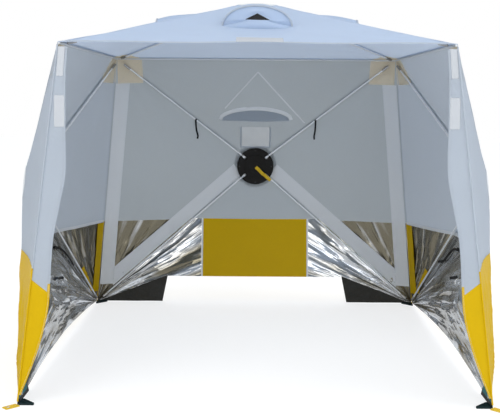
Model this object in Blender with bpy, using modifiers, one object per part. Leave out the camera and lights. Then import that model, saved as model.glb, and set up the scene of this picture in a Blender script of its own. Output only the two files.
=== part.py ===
"""A pop-up hub tent for welding and jointing work, open at the front.

Three walls and the roof are each pushed out by a hub with four rods. The
front faces -Y, +Z is up, and the ground is at z = 0. Lengths are in metres.
"""
import math

import bmesh
import bpy
from mathutils import Matrix, Vector

# Driving dimensions of the tent
base_half = 1.25
eave_half = 1.045
eave_height = 1.90
wall_bulge = 0.34
roof_rise = 0.30
crown_share = 0.11

# Cloth
cloth_thickness = 0.002
seam_gap = 0.0006
rest_gap = 0.0003
layer_gap = 0.0012
corner_gap = 0.0026
band_height = 0.65
side_band_rise_share = 0.5
back_hem_height = 0.20
ground_clearance = 0.0045
fold_depth = 0.022
fold_pitch = 0.10
fold_clear_radius = 0.30
fold_full_radius = 0.60
folds_in_quarter_turn = 5

# Back wall
flap_half_width = 0.425
flap_edge_gap = 0.0012
ground_flap_inner = 0.69
ground_flap_outer = 1.15
sleeve_width = 0.11
sleeve_ridge_gap = 0.012
sleeve_start = 0.24
corner_band_width = 0.10
corner_band_edge_gap = 0.012
corner_band_low = 0.14
vent_half_width = 0.275
vent_height = 0.065
vent_rise = 0.030
vent_above_pocket = 0.115
pocket_width = 0.23
pocket_height = 0.19
pocket_from_crown = 0.096
panel_thickness = 0.002
vent_steps = 16

# Front flanges: each width is a share of the largest, and each place a share of the slant height
flange_width = 0.115
flange_edge_gap = 0.0023
flange_profile_shares = [(0.03, 0.15), (0.09, 0.45), (0.17, 0.70), (0.26, 0.90), (0.34, 0.86), (0.46, 0.78),
                         (0.55, 0.90), (0.64, 1.00), (0.76, 0.78), (0.90, 0.52), (0.985, 0.45)]
flange_split_outer = 0.72
flange_split_inner = 0.63

# Hubs and rods
hub_radius = 0.145
hub_thickness = 0.024
hub_plate = 0.006
hub_rim = 0.008
hub_boss_radius = 0.038
hub_depth = 0.038
hub_segments = 28
pin_circle_radius = 0.115
pin_radius = 0.004
pin_seat = 0.005
slot_width = 0.020
slot_start = 0.098
slot_cheek = 0.009
rod_radius = 0.006
rod_sides = 10
eye_sides = 12
shaft_start_share = 0.6
eye_radius = 0.010
eye_width = 0.017
ferrule_radius = 0.008
ferrule_length = 0.055
tip_margin = 0.036
tip_inset = 0.004
tie_place = 0.50
tie_thickness = 0.002
tie_width = 0.014
tie_tail = 0.14

# Pull straps
strap_width = 0.026
strap_thickness = 0.002
strap_start = 0.012
strap_end = 0.138
strap_arch = 0.022
strap_foot = 0.020
strap_angle_share = 0.98
strap_steps = 10

# Corner pieces
pocket_reach = 0.19
pocket_corner_gap = 0.010
pocket_side_gap = 0.020
foot_size = 0.115
foot_height = 0.012
foot_wall_gap = 0.006
foot_bevel = 0.004
tab_width = 0.045
tab_reach = 0.075
tab_thickness = 0.0022
tab_lift = 0.002
eyelet_radius = 0.0065
eyelet_edge = 0.0144
eyelet_sides = 14
tab_root = 0.0575

# Roof hoods
hood_half_width = 0.20
hood_height = 0.10
hood_length = 0.36
hood_mouth_place = 0.60
hood_seat = 0.0009
hood_rings = 6
hood_arc_steps = 12

cutter_overrun = 0.01
weld_distance = 0.000001
seam_weld_distance = 0.00001
cut_snap = 0.0000001

slant_height = math.hypot(eave_height, base_half - eave_half)
lean_sine = (base_half - eave_half) / slant_height
lean_cosine = eave_height / slant_height
hub_low = slant_height * base_half / (base_half + eave_half)
hub_high = slant_height - hub_low
wall_hub_height = hub_low * lean_cosine
wall_hub_reach = base_half - hub_low * lean_sine
back_reach = wall_hub_reach + wall_bulge * lean_cosine + hub_low * crown_share * lean_sine
front_reach = base_half + (tab_reach + tab_width / 2) * math.sqrt(0.5)
tent_shift = (front_reach - back_reach) / 2


def clear_scene():
    for obj in list(bpy.data.objects):
        bpy.data.objects.remove(obj, do_unlink=True)
    for mesh in list(bpy.data.meshes):
        bpy.data.meshes.remove(mesh)


def make_collection(name):
    collection = bpy.data.collections.new(name)
    bpy.context.scene.collection.children.link(collection)
    return collection


def make_material(name, colour, roughness, metallic=0.0):
    material = bpy.data.materials.new(name)
    material.use_nodes = True
    shader = material.node_tree.nodes["Principled BSDF"]
    shader.inputs["Base Color"].default_value = (*colour, 1.0)
    shader.inputs["Roughness"].default_value = roughness
    shader.inputs["Metallic"].default_value = metallic
    return material


class Panel:
    """A wall or the roof: u runs along it, v up it and n out of it, from the hub's place on its plane."""

    def __init__(self, name, outward, low, high, low_half, high_half, bulge, corner_names):
        self.name = name
        self.low, self.high = low, high
        self.low_half, self.high_half = low_half, high_half
        self.bulge = bulge
        self.corner_names = corner_names
        if outward is None:
            v_axis, n_axis = Vector((0, 1, 0)), Vector((0, 0, 1))
            centre = Vector((0, tent_shift, eave_height))
        else:
            flat = Vector((*outward, 0))
            v_axis = Vector((0, 0, lean_cosine)) - flat * lean_sine
            n_axis = flat * lean_cosine + Vector((0, 0, lean_sine))
            centre = flat * wall_hub_reach + Vector((0, tent_shift, wall_hub_height))
        u_axis = v_axis.cross(n_axis)
        self.matrix = Matrix((u_axis, v_axis, n_axis)).transposed().to_4x4()
        self.matrix.translation = centre
        self.up = Vector((u_axis.z, v_axis.z, n_axis.z))

    def outline(self, share=1.0, level=0.0):
        return [Vector((-self.low_half * share, -self.low * share, level)),
                Vector((self.low_half * share, -self.low * share, level)),
                Vector((self.high_half * share, self.high * share, level)),
                Vector((-self.high_half * share, self.high * share, level))]

    def corner(self, index):
        return self.outline()[index]

    def facet(self, outward, distance):
        """The frame of one flat facet: x along its edge, y up to the hub, z out, from the edge's middle."""
        outward = Vector((*outward, 0))
        edge = outward * distance
        rise = outward * (distance * crown_share) + Vector((0, 0, self.bulge)) - edge
        y_axis = rise.normalized()
        normal = Vector((0, 0, 1)) - y_axis * y_axis.z
        normal.normalize()
        frame = Matrix((y_axis.cross(normal), y_axis, normal)).transposed().to_4x4()
        frame.translation = edge
        return self.matrix @ frame

    def height_plane(self, height, above, inset=seam_gap / 2, rise=0.0):
        """The half-space above or below a level line; rise lifts the line as the cloth stands out."""
        direction = self.up - Vector((0, 0, rise))
        direction.normalize()
        point = Vector((0, (height - self.matrix.translation.z) / self.up.y, 0))
        return half_space(point, direction if above else -direction, inset)


def half_space(point, direction, inset=0.0):
    direction = Vector(direction).normalized()
    return Vector(point) + direction * inset, direction


def link(obj, collection, material=None):
    collection.objects.link(obj)
    if material is not None:
        obj.data.materials.clear()
        obj.data.materials.append(material)
    return obj


def mesh_object(name, bm, collection, material=None, matrix=None):
    mesh = bpy.data.meshes.new(name)
    bm.to_mesh(mesh)
    bm.free()
    obj = link(bpy.data.objects.new(name, mesh), collection, material)
    if matrix is not None:
        obj.matrix_world = matrix
    return obj


def baked_mesh(obj, name):
    """The object's evaluated mesh, welded; the object is removed."""
    bpy.context.view_layer.update()
    mesh = bpy.data.meshes.new_from_object(obj.evaluated_get(bpy.context.evaluated_depsgraph_get()))
    bpy.data.objects.remove(obj, do_unlink=True)
    bm = bmesh.new()
    bm.from_mesh(mesh)
    bmesh.ops.remove_doubles(bm, verts=bm.verts, dist=weld_distance)
    bm.to_mesh(mesh)
    bm.free()
    mesh.name = name
    return mesh


def solidify(obj, thickness, offset=-1.0):
    modifier = obj.modifiers.new("Thickness", "SOLIDIFY")
    modifier.thickness = thickness
    modifier.offset = offset
    modifier.use_even_offset = True
    return modifier


def boolean(obj, other, operation):
    modifier = obj.modifiers.new(operation.title(), "BOOLEAN")
    modifier.object = other
    modifier.operation = operation
    modifier.solver = "EXACT"
    return modifier


def hide_tool(obj):
    obj.hide_render = True
    obj.display_type = "WIRE"
    return obj


def panel_skin(panel, inset):
    """A panel's outer surface: four flat facets that rise from its outline to the crown under the hub."""
    bm = bmesh.new()
    loops = [[bm.verts.new(point) for point in panel.outline(share, level - inset)]
             for share, level in ((1.0, 0.0), (crown_share, panel.bulge))]
    for index in range(len(loops[0])):
        following = (index + 1) % len(loops[0])
        bm.faces.new((loops[0][index], loops[0][following], loops[1][following], loops[1][index]))
    bm.faces.new(loops[1])
    return bm


def cut_skin(bm, regions):
    """Keeps the faces that lie in one of the regions, each a list of half-spaces."""
    for region in regions:
        for point, direction in region:
            bmesh.ops.bisect_plane(bm, geom=bm.verts[:] + bm.edges[:] + bm.faces[:], dist=cut_snap,
                                   plane_co=point, plane_no=direction)
    gone = []
    for face in bm.faces:
        centre = face.calc_center_median()
        if not any(all((centre - point).dot(direction) > 0 for point, direction in region)
                   for region in regions):
            gone.append(face)
    bmesh.ops.delete(bm, geom=gone, context="FACES")


def fold_skin(bm, panel, seams, corners):
    """Cuts the skin into small cells and pushes them out in folds that spread from the given corners."""
    reach = panel.low_half
    steps = int(2 * reach / fold_pitch)
    for step in range(1, steps):
        place = -reach + 2 * reach * step / steps
        bmesh.ops.bisect_plane(bm, geom=bm.verts[:] + bm.edges[:] + bm.faces[:], dist=cut_snap,
                               plane_co=(place, 0, 0), plane_no=(1, 0, 0))
    rows = int(band_height / fold_pitch)
    for row in range(1, rows):
        bmesh.ops.bisect_plane(bm, geom=bm.verts[:] + bm.edges[:] + bm.faces[:], dist=cut_snap,
                               plane_co=(0, -panel.low + band_height * row / rows, 0), plane_no=(0, 1, 0))
    for vert in bm.verts:
        push = 0.0
        for corner in corners:
            away = vert.co - corner
            spread = math.hypot(away.x, away.y)
            turn = math.atan2(abs(away.y), abs(away.x)) / (math.pi / 2)
            wave = 0.5 - 0.5 * math.cos(2 * math.pi * folds_in_quarter_turn * turn)
            grown = min(max((spread - fold_clear_radius) / (fold_full_radius - fold_clear_radius), 0.0), 1.0)
            push = max(push, wave * grown)
        for point, direction in seams:
            distance = (vert.co - point).dot(direction)
            push *= min(max(distance / fold_pitch - 1.0, 0.0), 1.0)
        vert.co.z += push * fold_depth


def make_cloth(name, panel, regions, material, collection, inset=0.0, folds=None):
    bm = panel_skin(panel, inset)
    cut_skin(bm, regions)
    if folds is not None:
        fold_skin(bm, panel, *folds)
    obj = mesh_object(name, bm, collection, material, panel.matrix)
    solidify(obj, cloth_thickness)
    return obj


def prism(name, points, thickness, collection, material=None, matrix=None):
    """A flat outline in x and y with its thickness centred on z = 0, as a filled 2D curve."""
    curve = bpy.data.curves.new(name, "CURVE")
    curve.dimensions = "2D"
    curve.fill_mode = "BOTH"
    curve.extrude = thickness / 2
    spline = curve.splines.new("POLY")
    spline.points.add(len(points) - 1)
    for spot, (x, y) in zip(spline.points, points):
        spot.co = (x, y, 0, 1)
    spline.use_cyclic_u = True
    obj = bpy.data.objects.new(name, curve)
    collection.objects.link(obj)
    mesh = baked_mesh(obj, name)
    return link_mesh(name, mesh, collection, material, matrix)


def link_mesh(name, mesh, collection, material=None, matrix=None):
    obj = bpy.data.objects.new(name, mesh)
    if matrix is not None:
        obj.matrix_world = matrix
    return link(obj, collection, material)


def box(name, low, high, collection, matrix=None):
    bm = bmesh.new()
    bmesh.ops.create_cube(bm, size=1.0)
    low, high = Vector(low), Vector(high)
    size = high - low
    bmesh.ops.scale(bm, vec=size, verts=bm.verts)
    bmesh.ops.translate(bm, vec=(low + high) / 2, verts=bm.verts)
    return mesh_object(name, bm, collection, None, matrix)


def cylinder(name, radius, start, end, collection, sides):
    """A closed cylinder from one point to another."""
    start, end = Vector(start), Vector(end)
    bm = bmesh.new()
    bmesh.ops.create_cone(bm, cap_ends=True, segments=sides, radius1=radius, radius2=radius,
                          depth=(end - start).length)
    turn = (end - start).to_track_quat("Z", "Y").to_matrix().to_4x4()
    bmesh.ops.transform(bm, matrix=Matrix.Translation((start + end) / 2) @ turn, verts=bm.verts)
    return mesh_object(name, bm, collection)


def tape(name, spine, thickness, width, collection, material=None, matrix=None):
    """A strap whose middle line runs through (x, z) points, as wide as given along y."""
    outline = []
    for side in (1, -1):
        edge = []
        for index, (x, z) in enumerate(spine):
            before = spine[max(index - 1, 0)]
            after = spine[min(index + 1, len(spine) - 1)]
            run = Vector((after[0] - before[0], after[1] - before[1])).normalized()
            edge.append((x - run.y * side * thickness / 2, z + run.x * side * thickness / 2))
        outline += edge if side == 1 else edge[::-1]
    upright = Matrix.Rotation(math.pi / 2, 4, "X")
    whole = upright if matrix is None else matrix @ upright
    return prism(name, outline[::-1], width, collection, material, whole)


def make_hub_mesh(name, angles, tools):
    """A black hub: a plate with a rim and a boss, and a slot with a cross pin for each rod."""
    half = hub_thickness / 2
    floor = -half + hub_plate
    top = hub_depth - cloth_thickness - rest_gap
    profile = [(0, top), (hub_boss_radius, top), (hub_boss_radius, floor), (hub_radius - hub_rim, floor),
               (hub_radius - hub_rim, half), (hub_radius, half), (hub_radius, -half), (0, -half)]
    bm = bmesh.new()
    spots = [bm.verts.new((x, 0, z)) for x, z in profile]
    for first, second in zip(spots, spots[1:]):
        bm.edges.new((first, second))
    turned = mesh_object(name, bm, tools)
    screw = turned.modifiers.new("Turn", "SCREW")
    screw.steps = hub_segments
    screw.render_steps = hub_segments
    screw.use_merge_vertices = True
    screw.merge_threshold = seam_weld_distance
    inner = slot_start - slot_cheek
    for index, angle in enumerate(angles):
        turn = Matrix.Rotation(angle, 4, "Z")
        wide = slot_width / 2 + slot_cheek
        block = box(f"{name}_block_{index}", (inner, -wide, -half), (hub_radius - hub_rim / 2, wide, half),
                    tools, turn)
        boolean(turned, block, "UNION")
        hide_tool(block)
    for index, angle in enumerate(angles):
        turn = Matrix.Rotation(angle, 4, "Z")
        slot = box(f"{name}_slot_{index}", (slot_start, -slot_width / 2, -half - cutter_overrun),
                   (hub_radius + cutter_overrun, slot_width / 2, half + cutter_overrun), tools, turn)
        boolean(turned, slot, "DIFFERENCE")
        hide_tool(slot)
    for index, angle in enumerate(angles):
        reach = slot_width / 2 + pin_seat
        pin = cylinder(f"{name}_pin_{index}", pin_radius, (pin_circle_radius, -reach, 0),
                       (pin_circle_radius, reach, 0), tools, rod_sides)
        pin.matrix_world = Matrix.Rotation(angle, 4, "Z")
        boolean(turned, pin, "UNION")
        hide_tool(pin)
    return baked_mesh(turned, name)


def make_rod_mesh(name, length, tools):
    """A rod along +x from the pin in its eye at the origin to the end of its ferrule."""
    eye = cylinder(name, eye_radius, (0, -eye_width / 2, 0), (0, eye_width / 2, 0), tools, eye_sides)
    shaft = cylinder(f"{name}_shaft", rod_radius, (eye_radius * shaft_start_share, 0, 0),
                     (length - ferrule_length / 2, 0, 0), tools, rod_sides)
    ferrule = cylinder(f"{name}_ferrule", ferrule_radius, (length - ferrule_length, 0, 0), (length, 0, 0),
                       tools, rod_sides)
    bore = cylinder(f"{name}_bore", pin_radius + rest_gap, (0, -eye_width, 0), (0, eye_width, 0),
                    tools, rod_sides)
    boolean(eye, shaft, "UNION")
    boolean(eye, ferrule, "UNION")
    boolean(eye, bore, "DIFFERENCE")
    for tool in (shaft, ferrule, bore):
        hide_tool(tool)
    return baked_mesh(eye, name)


def rod_length(panel, index):
    return panel.corner(index).to_2d().length - tip_margin - pin_circle_radius


def hub_travel(panel):
    return panel.bulge - hub_depth + tip_inset


def rod_frame(panel, index):
    """Where a rod sits at rest: x along the rod, y along its pin, from the pin's middle."""
    way = panel.corner(index).to_2d().normalized().to_3d()
    tilt = math.asin(hub_travel(panel) / rod_length(panel, index))
    along = way * math.cos(tilt) - Vector((0, 0, math.sin(tilt)))
    pin_axis = way.cross(Vector((0, 0, 1)))
    frame = Matrix((along, pin_axis, along.cross(pin_axis))).transposed().to_4x4()
    frame.translation = way * pin_circle_radius + Vector((0, 0, panel.bulge - hub_depth))
    return panel.matrix @ frame


def make_frame(panels, materials, collection, tools):
    """The hubs, rods and pull straps of every panel."""
    for panel in panels:
        angles = [math.atan2(point.y, point.x) for point in panel.outline()]
        hub_name = f"{panel.name}_hub"
        hub_mesh = make_hub_mesh(hub_name, angles, tools)
        seat = panel.matrix @ Matrix.Translation((0, 0, panel.bulge - hub_depth))
        link_mesh(hub_name, hub_mesh, collection, materials["hub"], seat)
        spine = []
        face = -hub_thickness / 2 - rest_gap - strap_thickness / 2
        arch_start = strap_start + strap_foot
        arch_length = strap_end - strap_foot - arch_start
        spine.append((strap_start, face))
        for step in range(strap_steps + 1):
            share = step / strap_steps
            lift = strap_arch * math.sin(math.pi * share) ** 2
            spine.append((arch_start + arch_length * share, face - lift))
        spine.append((strap_end, face))
        turn = Matrix.Rotation(angles[0] * strap_angle_share, 4, "Z")
        tape(f"{panel.name}_pull_strap", spine, strap_thickness, strap_width, collection,
             materials["webbing"], seat @ turn)
    rod_meshes = {}
    for panel in panels:
        for index, corner_name in enumerate(panel.corner_names):
            length = rod_length(panel, index)
            key = round(length * 1000)
            if key not in rod_meshes:
                rod_meshes[key] = make_rod_mesh(f"rod_{key}_mm", length, tools)
            link_mesh(f"{panel.name}_rod_{corner_name}", rod_meshes[key], collection, materials["rod"],
                      rod_frame(panel, index))


def ground_plane(panel):
    return panel.height_plane(ground_clearance, True, 0.0)


def eave_plane(panel):
    """Keeps a wall's top edge under the roof cloth."""
    return half_space((0, panel.high - corner_gap, 0), (0, -1, 0))


def side_plane(panel, sign):
    """Keeps the side edge of the back wall inside the wall that it meets."""
    low = Vector((sign * panel.low_half, -panel.low, 0))
    run = Vector((sign * panel.high_half, panel.high, 0)) - low
    return half_space(low, (-sign * run.y, sign * run.x, 0), corner_gap)


def make_walls(back, left, right, roof, materials, collection):
    """The white upper walls, the roof and the two-coloured lower panels."""
    make_cloth("roof_canopy", roof, [[]], materials["roof"], collection)
    make_cloth("back_wall", back, [[back.height_plane(band_height, True), eave_plane(back),
                                    side_plane(back, 1), side_plane(back, -1)]], materials["wall"], collection)
    flap_side = half_space((flap_half_width, 0, 0), (1, 0, 0), flap_edge_gap / 2)
    for name, sign in (("left", 1), ("right", -1)):
        top = back.height_plane(band_height, False)
        hem = back.height_plane(back_hem_height, True, 0.0)
        side = half_space(flap_side[0] * sign, flap_side[1] * sign)
        corner = Vector((sign * base_half, -back.low, 0))
        hem_end = Vector((sign * ground_flap_inner, -back.low + back_hem_height / lean_cosine, 0))
        run = hem_end - corner
        uphill = Vector((-run.y, run.x, 0)) * -sign
        level_part = half_space(hem_end, (-sign, 0, 0))
        sloping_part = half_space(hem_end, (sign, 0, 0))
        lifted = half_space(corner, uphill, seam_gap / 2)
        edge = side_plane(back, sign)
        regions = [[top, hem, side, level_part], [top, lifted, sloping_part, edge, ground_plane(back)]]
        make_cloth(f"back_lower_{name}", back, regions, materials["lower"], collection,
                   folds=([top, lifted, side, hem, edge], [corner]))
        flap_regions = [[half_space(corner, -uphill, seam_gap / 2), sloping_part, ground_plane(back),
                         half_space((sign * ground_flap_outer, 0, 0), (-sign, 0, 0))]]
        make_cloth(f"ground_flap_{name}", back, flap_regions, materials["black"], collection)
    for panel in (left, right):
        rise = side_band_rise_share
        make_cloth(f"{panel.name}_wall", panel, [[panel.height_plane(band_height, True, rise=rise),
                                                  eave_plane(panel)]], materials["wall"], collection)
        top = panel.height_plane(band_height, False, rise=rise)
        corners = [Vector((panel.low_half, -panel.low, 0)), Vector((-panel.low_half, -panel.low, 0))]
        make_cloth(f"{panel.name}_lower", panel, [[top, ground_plane(panel)]], materials["lower"], collection,
                   folds=([top, ground_plane(panel), side_plane(panel, 1), side_plane(panel, -1)], corners))


def make_back_flap(back, materials, collection):
    """The yellow flap in the back wall, which hangs from its top seam."""
    regions = [[back.height_plane(band_height, False), back.height_plane(back_hem_height, True, 0.0),
                half_space((flap_half_width, 0, 0), (-1, 0, 0), flap_edge_gap / 2),
                half_space((-flap_half_width, 0, 0), (1, 0, 0), flap_edge_gap / 2)]]
    make_cloth("back_flap", back, regions, materials["yellow"], collection)


def make_back_trim(back, materials, collection):
    """The rod sleeves, corner bands, vent and pocket on the inside of the back wall."""
    layer = cloth_thickness + layer_gap
    for name, sign in (("left", 1), ("right", -1)):
        corner = Vector((sign * base_half, -back.low, 0))
        way = corner.normalized()
        across = Vector((-way.y, way.x, 0)) * sign
        edge_way = (Vector((sign * back.high_half, back.high, 0)) - corner).normalized()
        inward = Vector((-edge_way.y, edge_way.x, 0)) * sign
        band_edge = corner + inward * (corner_band_edge_gap + corner_band_width)
        regions = [[half_space(across * sleeve_ridge_gap, across),
                    half_space(across * (sleeve_ridge_gap + sleeve_width), -across),
                    half_space(way * sleeve_start, way),
                    half_space(band_edge, inward, rest_gap)]]
        make_cloth(f"rod_sleeve_{name}", back, regions, materials["band"], collection, inset=layer)
        regions = [[half_space(corner + inward * corner_band_edge_gap, inward),
                    half_space(band_edge, -inward, rest_gap),
                    back.height_plane(corner_band_low, True, 0.0),
                    half_space((0, back.high - pocket_reach, 0), (0, -1, 0), rest_gap)]]
        make_cloth(f"corner_band_{name}", back, regions, materials["band"], collection, inset=layer)
    facet = back.facet((0, 1), back.high)
    inner = -cloth_thickness - rest_gap - panel_thickness / 2
    facet_length = math.hypot(back.high * (1 - crown_share), back.bulge)
    pocket_start = facet_length - pocket_from_crown - pocket_height
    vent_start = pocket_start - vent_above_pocket
    upper = []
    lower = []
    for step in range(vent_steps + 1):
        place = -1 + 2 * step / vent_steps
        bow = math.cos(place * math.pi / 2)
        upper.append((vent_half_width * place, vent_start - vent_rise * bow))
        if 0 < step < vent_steps:
            lower.append((vent_half_width * place,
                          vent_start - vent_rise * bow + vent_height * math.sqrt(bow)))
    prism("back_vent", upper + lower[::-1], panel_thickness, collection, materials["mesh"],
          facet @ Matrix.Translation((0, 0, inner)))
    half = pocket_width / 2
    pocket_end = pocket_start + pocket_height
    outline = [(-half, pocket_start), (half, pocket_start), (half, pocket_end), (-half, pocket_end)]
    prism("document_pocket", outline, panel_thickness, collection, materials["pocket"],
          facet @ Matrix.Translation((0, 0, inner)))


def make_flanges(front, materials, collection):
    """The narrow flanges beside the open front, white above and yellow below."""
    for name, sign in (("left", -1), ("right", 1)):
        low = Vector((sign * front.low_half, -front.low))
        high = Vector((sign * front.high_half, front.high))
        inward = Vector((-sign, 0))
        outer = [low.lerp(high, place) + inward * flange_edge_gap for place, _ in flange_profile_shares]
        inner = [low.lerp(high, place) + inward * (flange_edge_gap + flange_width * share)
                 for place, share in flange_profile_shares]
        outline = outer + inner[::-1]
        if sign > 0:
            outline = outline[::-1]
        whole = front.matrix @ Matrix.Translation((0, 0, -cloth_thickness / 2))
        split = Vector((inward.x * flange_width, flange_split_inner - flange_split_outer, 0))
        start = Vector((low.x, flange_split_outer - front.low, 0))
        for part, side, material in (("upper", 1, materials["wall"]), ("lower", -1, materials["yellow"])):
            piece = prism(f"front_flange_{name}_{part}", outline, cloth_thickness, collection, material,
                          whole)
            across = Vector((-split.y, split.x, 0)) * (1 if split.x > 0 else -1) * side
            point, direction = half_space(start, across, seam_gap / 2)
            cut_closed(piece, point, direction)


def cut_closed(obj, point, direction):
    """Cuts a closed mesh along a plane, keeps the side that the direction points to and closes the cut."""
    bm = bmesh.new()
    bm.from_mesh(obj.data)
    cut = bmesh.ops.bisect_plane(bm, geom=bm.verts[:] + bm.edges[:] + bm.faces[:], dist=cut_snap,
                                 plane_co=point, plane_no=direction, clear_inner=True)
    edges = [item for item in cut["geom_cut"] if isinstance(item, bmesh.types.BMEdge)]
    bmesh.ops.edgenet_fill(bm, edges=edges)
    bmesh.ops.recalc_face_normals(bm, faces=bm.faces)
    bm.to_mesh(obj.data)
    bm.free()


def make_rod_ties(back, materials, collection, tools):
    """A black tape round each upper rod of the back wall, with a tail that hangs."""
    for name, index in (("left", 2), ("right", 3)):
        rod = rod_frame(back, index)
        outer = cylinder(f"rod_tie_{name}", rod_radius + rest_gap + tie_thickness, (tie_place, 0, 0),
                         (tie_place + tie_width, 0, 0), collection, rod_sides)
        inner = cylinder(f"rod_tie_{name}_bore", rod_radius + rest_gap, (tie_place - tie_width, 0, 0),
                         (tie_place + 2 * tie_width, 0, 0), tools, rod_sides)
        outer.matrix_world = rod
        inner.matrix_world = rod
        middle = rod @ Vector((tie_place + tie_width / 2, 0, 0))
        hang = rod_radius + rest_gap + tie_thickness / 2
        tail = box(f"rod_tie_{name}_tail", (-tie_width / 2, -tie_thickness / 2, -hang - tie_tail),
                   (tie_width / 2, tie_thickness / 2, -hang), tools, Matrix.Translation(middle))
        boolean(outer, tail, "UNION")
        boolean(outer, inner, "DIFFERENCE")
        hide_tool(tail)
        hide_tool(inner)
        outer.data.materials.append(materials["black"])


def make_corner_pockets(walls, materials, collection):
    """The beige pockets that hold the rod ends, one on each wall at each of its top corners."""
    for panel in walls:
        for index, corner_name in enumerate(panel.corner_names):
            level, side = corner_name.split("_")
            if level == "lower":
                continue
            corner = panel.corner(index)
            inward = -math.copysign(1, corner.x)
            regions = [[half_space(corner + Vector((inward * pocket_reach, 0, 0)), (-inward, 0, 0)),
                        half_space(corner - Vector((0, pocket_reach, 0)), (0, 1, 0)),
                        half_space(corner + Vector((inward * pocket_side_gap, 0, 0)), (inward, 0, 0)),
                        half_space(corner - Vector((0, pocket_corner_gap, 0)), (0, -1, 0))]]
            make_cloth(f"top_pocket_{panel.name}_{side}", panel, regions, materials["patch"], collection,
                       inset=cloth_thickness + layer_gap)


def make_feet(materials, collection, tools):
    """The corner feet: a pad that the rod ends stand over and a peg tab with an eyelet."""
    for depth_name, depth_sign in (("front", -1), ("rear", 1)):
        for side_name, side_sign in (("left", -1), ("right", 1)):
            name = f"foot_{depth_name}_{side_name}"
            inner = base_half - foot_wall_gap
            place = Matrix.Translation((side_sign * inner, tent_shift + depth_sign * inner, 0))
            turn = Matrix.Rotation(math.atan2(depth_sign, side_sign) - math.pi / 4, 4, "Z")
            pad = box(name, (-foot_size, -foot_size, 0), (0, 0, foot_height), collection)
            bevel = pad.modifiers.new("Bevel", "BEVEL")
            bevel.width = foot_bevel
            bevel.segments = 1
            tab = box(f"{name}_tab", (-tab_root, -tab_width / 2, tab_lift),
                      (tab_reach + foot_wall_gap * math.sqrt(2), tab_width / 2, tab_lift + tab_thickness),
                      tools)
            eyelet_place = tab_reach - eyelet_edge
            hole = cylinder(f"{name}_eyelet", eyelet_radius, (eyelet_place, 0, -cutter_overrun),
                            (eyelet_place, 0, foot_height + cutter_overrun), tools, eyelet_sides)
            diagonal = place @ turn @ Matrix.Rotation(math.pi / 4, 4, "Z")
            pad.matrix_world = place @ turn
            tab.matrix_world = diagonal
            hole.matrix_world = diagonal
            boolean(pad, tab, "UNION")
            boolean(pad, hole, "DIFFERENCE")
            hide_tool(tab)
            hide_tool(hole)
            pad.data.materials.append(materials["foot"])


def make_hoods(roof, materials, collection):
    """The vent hoods on the front, left and right of the roof, open towards the eaves."""
    for name, outward in (("front", (0, -1)), ("left", (-1, 0)), ("right", (1, 0))):
        facet = roof.facet(outward, eave_half)
        slope = math.hypot(1.0, roof_rise / (eave_half * (1 - crown_share)))
        mouth = (eave_half - hood_mouth_place) * slope
        bm = bmesh.new()
        rows = []
        for ring in range(hood_rings):
            share = ring / hood_rings
            size = math.cos(share * math.pi / 2)
            row = []
            for step in range(hood_arc_steps + 1):
                angle = math.pi * step / hood_arc_steps
                row.append(bm.verts.new((hood_half_width * size * math.cos(angle),
                                         mouth + hood_length * share,
                                         hood_seat + hood_height * size * math.sin(angle))))
            rows.append(row)
        end = bm.verts.new((0, mouth + hood_length, hood_seat))
        for first, second in zip(rows, rows[1:]):
            for step in range(hood_arc_steps):
                bm.faces.new((first[step], second[step], second[step + 1], first[step + 1]))
        for step in range(hood_arc_steps):
            bm.faces.new((rows[-1][step], end, rows[-1][step + 1]))
        bmesh.ops.recalc_face_normals(bm, faces=bm.faces)
        if sum(face.normal.z * face.calc_area() for face in bm.faces) < 0:
            bmesh.ops.reverse_faces(bm, faces=bm.faces)
        hood = mesh_object(f"roof_hood_{name}", bm, collection, materials["roof"], facet)
        solidify(hood, cloth_thickness, 1.0)


def build_tent():
    clear_scene()
    tent = make_collection("welding_tent")
    tools = make_collection("cutters")
    materials = {
        "roof": make_material("roof_cloth", (0.52, 0.63, 0.86), 0.6),
        "wall": make_material("white_cloth", (0.42, 0.47, 0.58), 0.65),
        "lower": make_material("foil_cloth", (0.25, 0.24, 0.22), 0.25, 0.8),
        "yellow": make_material("yellow_cloth", (0.70, 0.45, 0.01), 0.5),
        "band": make_material("band_cloth", (0.43, 0.48, 0.58), 0.6),
        "black": make_material("black_cloth", (0.02, 0.02, 0.02), 0.6),
        "hub": make_material("hub_plastic", (0.012, 0.012, 0.01), 0.4),
        "rod": make_material("rod_white", (0.75, 0.76, 0.76), 0.35),
        "webbing": make_material("yellow_webbing", (0.70, 0.48, 0.03), 0.6),
        "patch": make_material("patch_cloth", (0.42, 0.41, 0.31), 0.7),
        "mesh": make_material("vent_mesh", (0.05, 0.055, 0.06), 0.7),
        "pocket": make_material("pocket_film", (0.5, 0.55, 0.66), 0.3),
        "foot": make_material("foot_teal", (0.01, 0.08, 0.09), 0.5),
    }
    low_names = ("lower", "lower", "upper", "upper")
    walls = {}
    for name, outward, sides in (("back", (0, 1), ("right", "left", "left", "right")),
                                 ("left", (-1, 0), ("rear", "front", "front", "rear")),
                                 ("right", (1, 0), ("front", "rear", "rear", "front")),
                                 ("front", (0, -1), ("left", "right", "right", "left"))):
        corner_names = [f"{low}_{side}" for low, side in zip(low_names, sides)]
        walls[name] = Panel(name, outward, hub_low, hub_high, base_half, eave_half, wall_bulge, corner_names)
    roof = Panel("roof", None, eave_half, eave_half, eave_half, eave_half, roof_rise,
                 ["front_left", "front_right", "rear_right", "rear_left"])
    back, left, right, front = walls["back"], walls["left"], walls["right"], walls["front"]
    make_walls(back, left, right, roof, materials, tent)
    make_back_flap(back, materials, tent)
    make_back_trim(back, materials, tent)
    make_flanges(front, materials, tent)
    make_frame([back, left, right, roof], materials, tent, tools)
    make_rod_ties(back, materials, tent, tools)
    make_corner_pockets([back, left, right], materials, tent)
    make_feet(materials, tent, tools)
    make_hoods(roof, materials, tent)


build_tent()
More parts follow.
